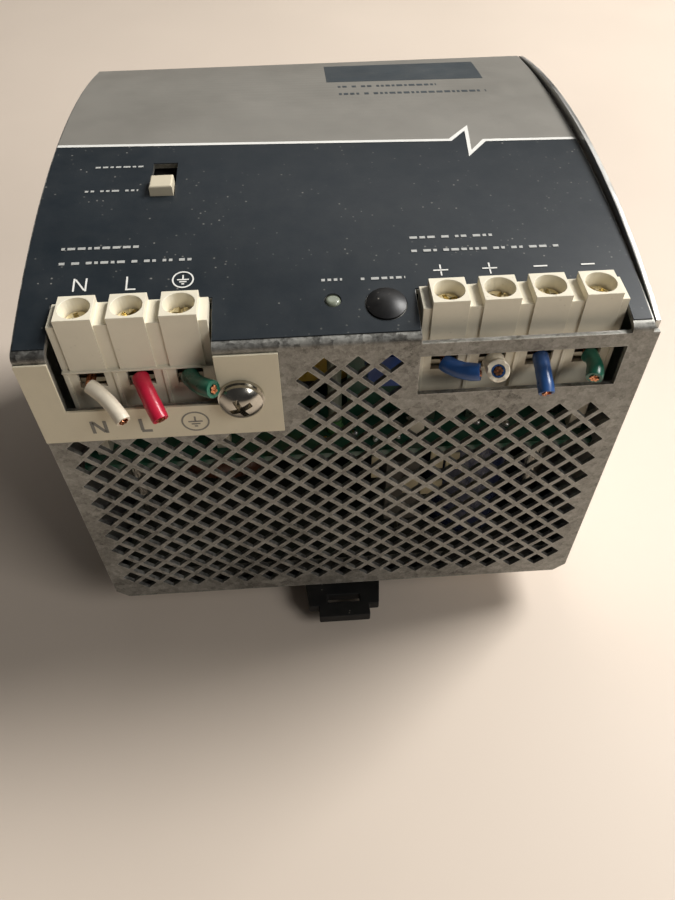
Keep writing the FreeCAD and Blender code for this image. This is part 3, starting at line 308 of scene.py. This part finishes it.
jacketLook = dict(toneScale=300.0, grain=900.0, bump=0.25, depth=0.08, dust=0.02, coat=0.15)
drawnSheet = (60.0, 60.0, 2500.0)    # drawing lines that run level along a wall
finishes = {
    "hood": dict(colour=(0.235, 0.232, 0.215), rough=0.48, metal=0.85, tone=0.08, spangle=(700.0, 0.3),
                 bump=0.3, depth=0.02, wearAndHighlight=0.55, wearAndHighlightColour=(0.75, 0.74, 0.7, 1), wearAndHighlightWidth=0.3,
                 dust=0.18),
    "chassis": dict(colour=(0.62, 0.61, 0.58), rough=0.36, metal=0.9, tone=0.06, drawn=drawnSheet, bump=0.1,
                    depth=0.01, wearAndHighlight=0.6, wearAndHighlightColour=(0.9, 0.89, 0.86, 1), wearAndHighlightWidth=0.25, dust=0.15),
    "panelSlate": dict(colour=(0.013, 0.018, 0.023), rough=0.42, tone=0.06, toneScale=60.0, grain=2600.0,
                       bump=0.35, depth=0.03, dust=0.035, specks=0.5, dustColour=(0.3, 0.29, 0.26, 1),
                       level=0.3),
    "panelGrey": dict(colour=(0.222, 0.209, 0.184), rough=0.42, metal=0.1, tone=0.04, toneScale=40.0,
                      grain=2600.0, bump=0.35, depth=0.03, dust=0.05, specks=0.2, coat=0.05),
    "printWhite": dict(colour=(0.72, 0.71, 0.67), rough=0.55, tone=0.05, dust=0.05),
    "printPale": dict(colour=(0.4, 0.4, 0.38), rough=0.55, tone=0.05, dust=0.05),
    "printDark": dict(colour=(0.035, 0.045, 0.052), rough=0.5, tone=0.05, dust=0.05),
    "printGrey": dict(colour=(0.2, 0.19, 0.165), rough=0.6, tone=0.1, dust=0.05),
    "terminal": dict(colour=(0.74, 0.68, 0.54), rough=0.42, tone=0.05, grain=3500.0, bump=0.12, depth=0.02,
                     wearAndHighlight=0.35, wearAndHighlightColour=(0.75, 0.7, 0.58, 1), wearAndHighlightWidth=0.3, dust=0.1, specks=0.35,
                     dustColour=grime),
    "plate": dict(colour=(0.62, 0.56, 0.42), rough=0.5, tone=0.05, grain=2500.0, bump=0.1, depth=0.02,
                  dust=0.08, specks=0.35, dustColour=grime),
    "nickel": dict(colour=(0.5, 0.475, 0.42), rough=0.16, roughSpan=0.08, metal=1.0, tone=0.12,
                   toneScale=500.0, grain=1200.0, bump=0.12, depth=0.02, wearAndHighlight=0.4, dust=0.12),
    "brassScrew": dict(colour=(0.85, 0.76, 0.52), rough=0.24, metal=1.0, tone=0.18, toneScale=500.0,
                       grain=1500.0, bump=0.2, depth=0.02, wearAndHighlight=0.5, dust=0.2),
    "clamp": dict(colour=(0.5, 0.47, 0.38), rough=0.35, metal=1.0, tone=0.15, toneScale=300.0, dust=0.15),
    "tinned": dict(colour=(0.6, 0.57, 0.48), rough=0.3, metal=1.0, tone=0.1, dust=0.1),
    "copper": dict(colour=(0.62, 0.27, 0.14), rough=0.28, metal=1.0, tone=0.2, toneScale=800.0, bump=0.1,
                   dust=0.05),
    "whiteJacket": dict(colour=(0.78, 0.7, 0.56), rough=0.4, tone=0.08, toneScale=400.0, grain=1800.0,
                        bump=0.2, depth=0.05, dust=0.15, specks=0.5, dustColour=(0.12, 0.09, 0.06, 1)),
    "redJacket": dict(colour=(0.55, 0.012, 0.045), rough=0.34, tone=0.1, **jacketLook),
    "greenJacket": dict(colour=(0.006, 0.1, 0.06), rough=0.32, tone=0.12, **jacketLook),
    "blueJacket": dict(colour=(0.018, 0.075, 0.24), rough=0.32, tone=0.12, **jacketLook),
    "blackPlastic": dict(colour=(0.007, 0.007, 0.007), rough=0.5, tone=0.1, grain=2200.0, bump=0.3,
                         depth=0.04, wearAndHighlight=0.2, wearAndHighlightColour=(0.04, 0.04, 0.037, 1), dust=0.03, specks=0.3,
                         level=0.3),
    "plugPlastic": dict(colour=(0.006, 0.006, 0.007), rough=0.4, tone=0.1, grain=2200.0, bump=0.15,
                        depth=0.03, dust=0.04, specks=0.5, level=0.35),
    "creamMoulding": dict(colour=(0.62, 0.55, 0.41), rough=0.45, tone=0.06, bump=0.1, dust=0.1, wearAndHighlight=0.2),
    "clearGuide": dict(colour=(0.3, 0.33, 0.25), rough=0.2, tone=0.1, bump=0.05, transmit=0.35, dust=0.1),
    "lamp": dict(colour=(0.12, 0.3, 0.1), rough=0.25, tone=0.05, transmit=0.3),
    "board": dict(colour=(0.012, 0.1, 0.055), rough=0.35, tone=0.2, toneScale=500.0, grain=1200.0, bump=0.3,
                  depth=0.05, coat=0.3, dust=0.1),
    "lowerBoard": dict(colour=(0.02, 0.022, 0.014), rough=0.5, tone=0.2, toneScale=500.0, bump=0.3),
    "solder": dict(colour=(0.7, 0.69, 0.66), rough=0.22, metal=1.0, tone=0.1),
    "trimmerBlue": dict(colour=(0.03, 0.08, 0.3), rough=0.4, tone=0.05),
    "enamelWire": dict(colour=(0.1, 0.035, 0.015), rough=0.3, tone=0.25, toneScale=600.0,
                       drawn=(900.0, 900.0, 30.0), bump=0.5, depth=0.2, coat=0.2),
    "film": dict(colour=(0.05, 0.045, 0.035), rough=0.35, tone=0.05),
    "ferrite": dict(colour=(0.03, 0.03, 0.032), rough=0.5, tone=0.15, toneScale=400.0, bump=0.3),
    "yellowTape": dict(colour=(0.62, 0.42, 0.06), rough=0.3, tone=0.12, toneScale=200.0,
                       drawn=(30.0, 30.0, 900.0), bump=0.2, depth=0.05, coat=0.3),
    "sinkMetal": dict(colour=(0.55, 0.54, 0.51), rough=0.4, metal=0.9, tone=0.08, drawn=drawnSheet,
                      bump=0.1),
    "sleeveBlue": dict(colour=(0.012, 0.02, 0.06), rough=0.25, tone=0.1, coat=0.4),
    "sleeveBlack": dict(colour=(0.012, 0.012, 0.015), rough=0.28, tone=0.1, coat=0.3),
    "boxCream": dict(colour=(0.5, 0.43, 0.26), rough=0.4, tone=0.08),
    "boxGrey": dict(colour=(0.05, 0.045, 0.032), rough=0.4, tone=0.12, toneScale=300.0),
    "springSteel": dict(colour=(0.45, 0.45, 0.44), rough=0.3, metal=1.0, tone=0.1),
    "ceramic": dict(colour=(0.7, 0.69, 0.64), rough=0.3, tone=0.05),
}
made = {name: makeFinish(name, **look) for name, look in finishes.items()}

nodeFinish = {
    "hood": "hood", "chassis": "chassis", "front_foil": "panelSlate", "insulating_plate": "plate",
    "earth_screw": "nickel", "earth_washer": "nickel", "input_terminal_block": "terminal",
    "output_terminal_block": "terminal", "input_busbars": "tinned", "output_busbars": "tinned",
    "white_wires": "whiteJacket", "red_wires": "redJacket", "green_wires": "greenJacket",
    "blue_wires": "blueJacket", "wire_cores": "copper", "selector_body": "blackPlastic",
    "selector_knob": "creamMoulding", "light_guide": "clearGuide", "indicator_led": "lamp",
    "adjuster_board": "board", "trimmer_body": "trimmerBlue", "trimmer_rotor": "creamMoulding",
    "adjuster_plug": "plugPlastic", "upper_board": "board", "lower_board": "lowerBoard",
    "insulating_sheet": "film", "lower_posts": "nickel", "upper_posts": "nickel", "board_screws": "nickel",
    "transformer_core": "ferrite", "transformer_winding": "yellowTape", "output_choke": "enamelWire",
    "output_capacitors": "sleeveBlack", "heatsinks": "sinkMetal", "power_transistors": "blackPlastic",
    "bulk_capacitors": "sleeveBlue", "line_choke": "enamelWire", "filter_capacitor": "boxGrey",
    "bridge_rectifier": "blackPlastic", "fuse": "ceramic", "rail_foot": "blackPlastic",
    "rail_latch": "blackPlastic", "latch_spring": "springSteel", "foot_screws": "nickel",
    "hood_screws": "nickel",
}
softEdges = {    # millimetres of rounding on moulded and folded pieces
    "input_terminal_block": 0.22, "output_terminal_block": 0.22, "rail_foot": 0.35, "rail_latch": 0.35,
    "selector_body": 0.2, "insulating_plate": 0.1, "chassis": 0.12, "heatsinks": 0.2,
    "power_transistors": 0.25, "bridge_rectifier": 0.3, "filter_capacitor": 0.4, "trimmer_body": 0.2,
    "transformer_core": 0.3,
}
rounding = {"weld": 0.002, "segments": 2, "angle": 35}


def roundEdges(piece, width):
    weld = piece.modifiers.new("weld", "WELD")
    weld.merge_threshold = rounding["weld"] * mm
    bevel = piece.modifiers.new("roundEdges", "BEVEL")
    bevel.width = width * mm
    bevel.segments = rounding["segments"]
    bevel.limit_method = "ANGLE"
    bevel.angle_limit = math.radians(rounding["angle"])
    bevel.use_clamp_overlap = True
    bevel.harden_normals = True


for name, node in nodes.items():
    look = nodeFinish.get(name)
    if look is None:    # the terminals' own screws and clamps
        look = "brassScrew" if "_screw_" in name else "clamp"
    node.data.materials.clear()
    node.data.materials.append(made[look])
    if name in softEdges:
        roundEdges(node, softEdges[name])
print("finishes placed on", len(nodes), "nodes")


def meshPiece(name, build, finish, smooth=False):
    # a new piece that rides on the case
    mesh = bpy.data.meshes.new(name)
    form = bmesh.new()
    build(form)
    bmesh.ops.recalc_face_normals(form, faces=form.faces[:])
    form.to_mesh(mesh)
    form.free()
    if smooth:
        mesh.polygons.foreach_set("use_smooth", [True] * len(mesh.polygons))
    mesh.materials.append(made[finish])
    piece = bpy.data.objects.new(name, mesh)
    bpy.context.scene.collection.objects.link(piece)
    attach(piece, "case")
    return piece


panel = {"length": 118.4, "face": 86.0, "crownLeft": 7.5, "crownRight": 5.4, "span": 120.0, "foil": 0.2,
         "left": -59.65, "right": 58.3, "inset": 1.5, "fieldLift": 0.02, "printLift": 0.06, "ink": 0.03,
         "step": 2.0}
mitreLimit = 0.35    # keeps a sharp corner of a line from running out too far


def panelTop(x, y, lift):
    # the panel is bowed a little more at its left edge than at its right
    share = x / panel["span"] + 0.5
    crown = panel["crownLeft"] + (panel["crownRight"] - panel["crownLeft"]) * share
    half = panel["length"] / 2
    radius = (half ** 2 + crown ** 2) / (2 * crown)
    return panel["face"] + crown - radius + math.sqrt((radius + panel["foil"] + lift) ** 2 - (y - half) ** 2)


def printOnPanel(name, outlines, finish, lift=panel["printLift"]):
    # flat outlines in (x, y) millimetres become thin ink that follows the curve of the panel
    def build(form):
        for outline in outlines:
            corners = [form.verts.new((x, y, 0)) for x, y in outline]
            form.faces.new(corners)
        low = min(y for outline in outlines for x, y in outline)
        high = max(y for outline in outlines for x, y in outline)
        y = low + panel["step"]
        while y < high:
            parts = form.verts[:] + form.edges[:] + form.faces[:]
            bmesh.ops.bisect_plane(form, geom=parts, plane_co=(0, y, 0), plane_no=(0, 1, 0))
            y += panel["step"]
        top = bmesh.ops.extrude_face_region(form, geom=form.faces[:])["geom"]
        raised = {v for v in top if isinstance(v, bmesh.types.BMVert)}
        for v in form.verts:
            height = lift + (panel["ink"] if v in raised else 0)
            v.co = at(v.co.x, v.co.y, panelTop(v.co.x, v.co.y, height))
    return meshPiece(name, build, finish)


def strip(points, width):
    # quadrilaterals of even width along a broken line, mitred at the corners
    sides = []
    for index, point in enumerate(points):
        here = Vector(point)
        before = (here - Vector(points[index - 1])).normalized() if index else None
        after = (Vector(points[index + 1]) - here).normalized() if index < len(points) - 1 else None
        before, after = before or after, after or before
        bend = (before + after).normalized()
        across = Vector((-bend.y, bend.x))
        reach = width / 2 / max(mitreLimit, across.dot(Vector((-before.y, before.x))))
        sides.append((here + across * reach, here - across * reach))
    return [[tuple(a[0]), tuple(a[1]), tuple(b[1]), tuple(b[0])] for a, b in zip(sides, sides[1:])]


def ring(x, y, radius, width, sides=40):
    turn = [2 * math.pi * k / sides for k in range(sides + 1)]
    outer = [(x + radius * math.cos(a), y + radius * math.sin(a)) for a in turn]
    inner = [(x + (radius - width) * math.cos(a), y + (radius - width) * math.sin(a)) for a in turn]
    return [[outer[k], outer[k + 1], inner[k + 1], inner[k]] for k in range(sides)]


divide = {"line": [(panel["left"], 61.5), (29.2, 60.0), (33.8, 65.6), (32.8, 53.9), (37.0, 59.5),
                   (panel["right"], 59.4)],
          "width": 1.0}    # the light line with its jag, between the two fields
farEdge = panel["length"] - panel["inset"]
outline = divide["line"] + [(panel["right"], farEdge), (panel["left"], farEdge)]
printOnPanel("panelFarField", [outline], "panelGrey", panel["fieldLift"])
printOnPanel("panelLine", strip(divide["line"], divide["width"]), "printWhite")

signs = {    # strokes of each sign, in shares of its height
    "plus": [[(-0.5, 0), (0.5, 0)], [(0, -0.5), (0, -0.11)], [(0, 0.11), (0, 0.5)]],
    "minus": [[(-0.5, 0), (0.5, 0)]],
    "N": [[(-0.36, -0.5), (-0.36, 0.5)], [(-0.28, 0.42), (0.28, -0.42)], [(0.36, -0.5), (0.36, 0.5)]],
    "L": [[(-0.25, 0.5), (-0.25, -0.44)], [(-0.31, -0.5), (0.3, -0.5)]],
    "earth": [[(0, 0.42), (0, 0.0)], [(-0.42, 0.0), (0.42, 0.0)], [(-0.26, -0.2), (0.26, -0.2)],
              [(-0.1, -0.4), (0.1, -0.4)]],
}


def signOutlines(sign, x, y, height, width):
    outlines = []
    for points in signs[sign]:
        outlines += strip([(x + px * height, y + py * height) for px, py in points], width)
    return outlines


markRow = 15.75
terminalMarks = [    # sign, middle, height and line width
    ("N", -48.75, 3.2, 0.34), ("L", -39.1, 3.2, 0.34), ("plus", 20.5, 2.9, 0.3), ("plus", 30.1, 2.9, 0.3),
    ("minus", 40.1, 2.7, 0.34), ("minus", 49.5, 2.7, 0.34),
]
earthSign = {"x": -29.25, "y": markRow + 0.3, "height": 2.7, "line": 0.28, "ring": 2.1, "ringLine": 0.3}
marks = []
for sign, x, height, width in terminalMarks:
    marks += signOutlines(sign, x, markRow, height, width)
marks += signOutlines("earth", earthSign["x"], earthSign["y"], earthSign["height"], earthSign["line"])
printOnPanel("terminalMarks", marks, "printWhite")
earthRing = ring(earthSign["x"], earthSign["y"], earthSign["ring"], earthSign["ringLine"])
printOnPanel("earthMark", earthRing, "printWhite")

dashes = {
    "widths": (0.7, 1.1, 1.5), "gaps": (0.5, 0.5, 0.5, 1.3),
    "near": [    # from x, to x, y and height
        (-49.9, -39.6, 51.7, 0.6), (-51.0, -39.9, 42.8, 0.6), (-53.4, -37.6, 25.0, 0.65),
        (-53.4, -27.8, 21.0, 0.65), (15.5, 32.2, 24.7, 0.65), (15.4, 45.6, 20.9, 0.65),
        (-2.8, 1.2, 14.1, 0.6), (4.8, 13.4, 14.0, 0.6),
    ],
    "title": [(5.5, 31.0, 92.0, 1.3), (5.5, 43.0, 86.6, 1.3)],
}
titleBar = {"left": 2.8, "right": 44.0, "low": 96.5, "high": 112.0}


def block(x0, x1, y0, y1):
    return [(x0, y0), (x1, y0), (x1, y1), (x0, y1)]


def dashBlocks(rows):
    # plain rows of fine dashes that stand where lines of wording would be
    blocks = []
    for x, stop, y, height in rows:
        while x < stop:
            width = min(dice.choice(dashes["widths"]), stop - x)
            blocks.append(block(x, x + width, y, y + height))
            x += width + dice.choice(dashes["gaps"])
    return blocks


printOnPanel("panelRows", dashBlocks(dashes["near"]), "printPale")
printOnPanel("titleRows", dashBlocks(dashes["title"]), "printDark")
bar = block(titleBar["left"], titleBar["right"], titleBar["low"], titleBar["high"])
printOnPanel("titleBar", [bar], "printDark")
print("panel printed")

plate = {"face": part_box("insulating_plate")[0].y, "lift": 0.02, "ink": 0.03,
         "letters": [("N", -48.4), ("L", -39.2)], "row": 67.2, "height": 3.5, "line": 0.7,
         "earth": (-29.3, 67.4), "earthHeight": 3.4, "earthRing": 2.8, "earthLine": 0.35}


def printOnPlate(name, outlines, finish):
    # outlines in (x, z) millimetres become thin ink on the plate's outer face
    ground = plate["face"] - plate["lift"] * mm

    def build(form):
        for outline in outlines:
            form.faces.new([form.verts.new((x * mm, ground, backPlane + z * mm)) for x, z in outline])
        top = bmesh.ops.extrude_face_region(form, geom=form.faces[:])["geom"]
        for v in top:
            if isinstance(v, bmesh.types.BMVert):
                v.co.y -= plate["ink"] * mm
    return meshPiece(name, build, finish)


legend = []
for sign, x in plate["letters"]:
    legend += signOutlines(sign, x, plate["row"], plate["height"], plate["line"])
legend += signOutlines("earth", *plate["earth"], plate["earthHeight"], plate["earthLine"])
printOnPlate("plateLegend", legend, "printGrey")
printOnPlate("plateEarthRing", ring(*plate["earth"], plate["earthRing"], plate["earthLine"]), "printGrey")

coreBore = 0.97    # inside of a jacket that grips its own strands
wireLook = {"level": 76.43, "lead": 9.2, "leadSteps": 10, "rings": 26, "sides": 28, "sharp": 50}
jacketLine = {"waistReach": 1.25, "ripple": 0.012, "rippleTurns": 19, "ripplePhase": 7, "pinch": 0.05,
              "cutRough": 0.03, "tornRough": 0.09, "boreRough": 0.02, "skinRough": 0.006}
strandLine = {"count": 7, "radius": 0.29, "spread": 0.62, "twist": 0.16, "sides": 10, "tip": 0.25}
inputPoles = [-48.25, -38.75, -29.25]
outputPoles = [20.6, 30.1, 39.6, 49.1]
cutWires = [    # jacket, pole, start, bend and end from the pole, radius, bore, waist
    ("white", inputPoles[0], 1.8, (3.5, -1.2, -1.4), (6.5, -5.0, -3.2), 1.5, coreBore, 0.02),
    ("red", inputPoles[1], 3.5, (1.5, 0.0, -1.1), (3.9, -4.7, -3.6), 1.7, coreBore, 0.02),
    ("green", inputPoles[2], 3.2, (2.0, -0.1, 0.8), (5.1, -2.9, 2.0), 1.8, coreBore, 0.04),
    ("blue", outputPoles[0], 3.2, (2.7, 0.6, 0.2), (6.1, -0.9, 0.9), 1.75, coreBore, 0.03),
    ("white", outputPoles[1], 2.9, (0.0, 0.4, 0.6), (-0.4, -2.4, 2.3), 2.2, 1.35, 0.05),
    ("blue", outputPoles[1], 2.9, (0.0, 0.4, 0.6), (-0.38, -2.3, 2.25), 1.33, coreBore, 0.0),
    ("blue", outputPoles[2], 3.6, (-0.2, -0.6, -0.7), (-0.3, -4.6, -2.2), 1.6, coreBore, 0.02),
    ("green", outputPoles[3], 3.5, (0.5, 0.8, 0.0), (-0.3, -2.6, -0.7), 1.7, coreBore, 0.14),
]


def wireLine(pole, start, through, end):
    # one smooth bend from the terminal, through its middle point, to the cut end
    level = wireLook["level"]
    first = Vector((pole, start, level))
    last = Vector((pole + end[0], end[1], level + end[2]))
    middle = Vector((pole + through[0], through[1], level + through[2]))
    guide = middle * 2 - (first + last) / 2
    shares = [k / wireLook["rings"] for k in range(wireLook["rings"] + 1)]
    return [first * (1 - t) ** 2 + guide * (2 * t * (1 - t)) + last * t ** 2 for t in shares]


def frames(points):
    # a direction and two square-on directions at each point, carried along without twisting
    side, places = Vector((0, 0, 1)), []
    for k, point in enumerate(points):
        ahead = (points[min(k + 1, len(points) - 1)] - points[max(k - 1, 0)]).normalized()
        side = (side - ahead * side.dot(ahead)).normalized()
        places.append((point, ahead, side, ahead.cross(side)))
    return places


def addRing(form, place, radius, sides, rough=0.0):
    # a ragged ring moves twice as far along the wire as across it
    point, ahead, side, other = place
    corners = []
    for k in range(sides):
        angle = 2 * math.pi * k / sides
        reach = radius * (1 + dice.uniform(-rough, rough))
        spot = point + side * (math.cos(angle) * reach) + other * (math.sin(angle) * reach)
        corners.append(form.verts.new(at(*(spot + ahead * dice.uniform(-rough, rough) * 2))))
    return corners


def bridge(form, first, second):
    count = len(first)
    for k in range(count):
        form.faces.new((first[k], first[(k + 1) % count], second[(k + 1) % count], second[k]))


def addJacket(form, points, radius, bore, waist, sides):
    outer, inner = [], []
    places = frames(points)
    torn = jacketLine["tornRough"] if bore > coreBore else jacketLine["cutRough"]
    phase = radius * jacketLine["ripplePhase"]
    for k, place in enumerate(places):
        share = k / (len(places) - 1)
        narrow = waist * math.sin(math.pi * min(1.0, share * jacketLine["waistReach"])) ** 2
        swell = 1 - narrow + jacketLine["ripple"] * math.sin(share * jacketLine["rippleTurns"] + phase)
        last = k == len(places) - 1
        swell -= jacketLine["pinch"] if last else 0
        outer.append(addRing(form, place, radius * swell, sides, torn if last else jacketLine["skinRough"]))
        inner.append(addRing(form, place, bore, sides, jacketLine["boreRough"] if last else 0.0))
    for a, b in zip(outer, outer[1:]):
        bridge(form, a, b)
    for a, b in zip(inner, inner[1:]):
        bridge(form, b, a)
    bridge(form, inner[0], outer[0])
    bridge(form, outer[-1], inner[-1])


def addStrands(form, points):
    # one strand in the middle and the others twisted round it, some cut a little shorter
    places = frames(points)
    for strand in range(strandLine["count"]):
        reach = 0 if strand == 0 else strandLine["spread"]
        start = 2 * math.pi * strand / (strandLine["count"] - 1)
        rings = []
        stop = len(places) - dice.choice((1, 1, 2))
        for k, (point, ahead, side, other) in enumerate(places[:stop + 1]):
            angle = start + k * strandLine["twist"]
            spot = point + side * (math.cos(angle) * reach) + other * (math.sin(angle) * reach)
            rings.append(addRing(form, (spot, ahead, side, other), strandLine["radius"], strandLine["sides"]))
        for a, b in zip(rings, rings[1:]):
            bridge(form, a, b)
        form.faces.new(rings[0][::-1])
        form.faces.new(rings[-1])


jacketNodes = {"white": "white_wires", "red": "red_wires", "green": "green_wires", "blue": "blue_wires"}
for colour, node in jacketNodes.items():
    def buildJackets(form, colour=colour):
        for jacket, pole, start, through, end, radius, bore, waist in cutWires:
            if jacket == colour:
                line = wireLine(pole, start, through, end)
                addJacket(form, line, radius, bore, waist, wireLook["sides"])
    piece = meshPiece(colour + "Jackets", buildJackets, colour + "Jacket",
                      smooth=True)
    piece.data.set_sharp_from_angle(angle=math.radians(wireLook["sharp"]))
    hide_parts(node)


def buildStrands(form):
    for jacket, pole, start, through, end, radius, bore, waist in cutWires:
        if bore > coreBore:    # this jacket holds another jacket and no strands of its own
            continue
        line = wireLine(pole, start, through, end)
        back = Vector((pole, wireLook["lead"], wireLook["level"]))
        lead = [back.lerp(line[0], k / wireLook["leadSteps"]) for k in range(wireLook["leadSteps"])]
        tip = line[-1] + (line[-1] - line[-2]).normalized() * strandLine["tip"]
        addStrands(form, lead + line + [tip])


strands = meshPiece("copperStrands", buildStrands, "copper", smooth=True)
strands.data.set_sharp_from_angle(angle=math.radians(wireLook["sharp"]))
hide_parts("wire_cores")
print("wires made")


def closeRings(form, rings):
    for a, b in zip(rings, rings[1:]):
        bridge(form, a, b)
    form.faces.new(rings[-1])
    form.faces.new(rings[0][::-1])


boardTop = 51.6    # outer face of the upper board
solder = {
    "places": [(7.8, 5.6), (12.9, 6.0), (15.9, 11.6), (22.0, 8.4), (31.2, 9.2), (34.8, 9.6), (37.6, 8.2),
               (3.4, 8.0), (42.5, 8.8), (-3.0, 6.4), (26.6, 11.4), (46.0, 11.0)],
    "radius": (0.8, 1.2), "height": (0.9, 1.4), "levels": 5, "sides": 14, "round": 1.6,
}


def addDome(form, x, y, radius, height):
    rings = []
    for k in range(solder["levels"]):
        lift = k / solder["levels"]
        reach = radius * math.sqrt(1 - lift ** solder["round"])
        turns = [2 * math.pi * a / solder["sides"] for a in range(solder["sides"])]
        rings.append([form.verts.new(at(x + reach * math.cos(turn), y + reach * math.sin(turn),
                                        boardTop + height * lift)) for turn in turns])
    closeRings(form, rings)


def buildSolder(form):
    for x, y in solder["places"]:
        addDome(form, x, y, dice.uniform(*solder["radius"]), dice.uniform(*solder["height"]))


meshPiece("solderDots", buildSolder, "solder", smooth=True)


def addBar(form, low, high, cut):
    # a block with cut-back top edges
    (x0, y0, z0), (x1, y1, z1) = low, high
    rings = []
    for inset, z in ((0, z0), (0, z1 - cut), (cut, z1)):
        corners = block(x0 + inset, x1 - inset, y0 + inset, y1 - inset)
        rings.append([form.verts.new(at(x, y, z)) for x, y in corners])
    closeRings(form, rings)


chips = {"count": 11, "first": -40, "step": 8.3, "shift": 1.5, "rows": (13.6, 15.6), "half": 1.6,
         "depth": 1.6, "height": 1.3, "cut": 0.3,
         "clear": [(9, 9), (-0.9, 4)]}    # a middle and the room that is kept free each side of it


def buildChips(form):
    # small resistors and coils near the board's edge
    for k in range(chips["count"]):
        x = chips["first"] + chips["step"] * k + dice.uniform(-chips["shift"], chips["shift"])
        y = dice.uniform(*chips["rows"])
        if all(abs(x - spot) > reach for spot, reach in chips["clear"]):
            addBar(form, (x - chips["half"], y, boardTop),
                   (x + chips["half"], y + chips["depth"], boardTop + chips["height"]), chips["cut"])


meshPiece("boardChips", buildChips, "blackPlastic")

flags = {
    "near": 5.6, "far": 6.2, "cut": 0.2,
    "places": [    # from x, to x, from z, to z
        (20.9, 23.9, 40.2, 46.8), (24.6, 27.6, 39.6, 45.2), (15.0, 18.6, 31.4, 37.2),
        (19.4, 24.4, 30.4, 35.4), (7.2, 8.9, 38.0, 45.6),
    ],
}


def buildFlags(form):
    # cream paper flags folded over the filter capacitor and the lead beside it
    for x0, x1, z0, z1 in flags["places"]:
        addBar(form, (x0, flags["near"], z0), (x1, flags["far"], z1), flags["cut"])


meshPiece("creamFlags", buildFlags, "boxCream")
print("small inner parts made")


shot = {"lens": 30.19, "sensor": 36.0, "near": 0.005, "place": (-0.006469, -0.159881, 0.190967),
        "right": (0.9978, -0.065, -0.0104), "up": (0.0563, 0.7608, 0.6466),
        "back": (-0.0342, -0.6458, 0.7628)}
cameraData = bpy.data.cameras.new("camera")
cameraData.lens = shot["lens"]
cameraData.sensor_width = shot["sensor"]
cameraData.clip_start = shot["near"]
camera = bpy.data.objects.new("camera", cameraData)
bpy.context.scene.collection.objects.link(camera)
turn = Matrix((shot["right"], shot["up"], shot["back"])).transposed().to_quaternion()
camera.matrix_world = Matrix.Translation(shot["place"]) @ turn.to_matrix().to_4x4()
bpy.context.scene.camera = camera


lightColour = (1.0, 0.985, 0.96)
lightAim = (0, 0, 0.05)
lights = {
    "keyLight": dict(place=(0.8, 0.3, 0.95), size=(0.5, 0.5), power=21.5),
    "topLight": dict(place=(0.3, 0.8, 0.9), size=(0.9, 0.4), power=1.8),
    "frontFill": dict(place=(0.7, -0.6, 0.7), size=(0.5, 0.4), power=4.4),
}


def softLight(name, place, size, power):
    data = bpy.data.lights.new(name, "AREA")
    data.shape = "RECTANGLE"
    data.size, data.size_y = size
    data.energy = power
    data.color = lightColour
    light = bpy.data.objects.new(name, data)
    light.location = place
    light.rotation_mode = "QUATERNION"
    light.rotation_quaternion = (Vector(lightAim) - Vector(place)).to_track_quat("-Z", "Y")
    bpy.context.scene.collection.objects.link(light)


for name, light in lights.items():
    softLight(name, **light)

studio = {"dimColour": (1.0, 0.97, 0.94, 1), "dim": 0.05, "wallColour": (0.8, 0.74, 0.68, 1), "wall": 0.9}
world = bpy.data.worlds.new("studio")
world.use_nodes = True
sky = world.node_tree
dim = sky.nodes["Background"]
dim.inputs["Color"].default_value = studio["dimColour"]
dim.inputs["Strength"].default_value = studio["dim"]
backdrop = addNode(sky, "ShaderNodeBackground", Color=studio["wallColour"], Strength=studio["wall"])
choose = addNode(sky, "ShaderNodeMixShader")    # a pale wall that is seen but gives no light
wire(sky, addNode(sky, "ShaderNodeLightPath").outputs["Is Camera Ray"], choose.inputs[0])
wire(sky, dim.outputs[0], choose.inputs[1])
wire(sky, backdrop.outputs[0], choose.inputs[2])
wire(sky, choose.outputs[0], sky.nodes["World Output"].inputs["Surface"])
bpy.context.scene.world = world
bpy.context.scene.view_settings.view_transform = "Standard"

floorLook = dict(colour=(0.64, 0.545, 0.455), rough=0.6, tone=0.02, toneScale=8.0, bump=0.02, dust=0.0,
                 specks=0.0)
floorReach = 3.0
floorMesh = bpy.data.meshes.new("floor")
floorCorners = [(x, y, 0) for x, y in block(-floorReach, floorReach, -floorReach, floorReach)]
floorMesh.from_pydata(floorCorners, [], [(0, 1, 2, 3)])
floor = bpy.data.objects.new("floor", floorMesh)
floor.data.materials.append(makeFinish("floor", **floorLook))
bpy.context.scene.collection.objects.link(floor)
print("camera, light and floor set")
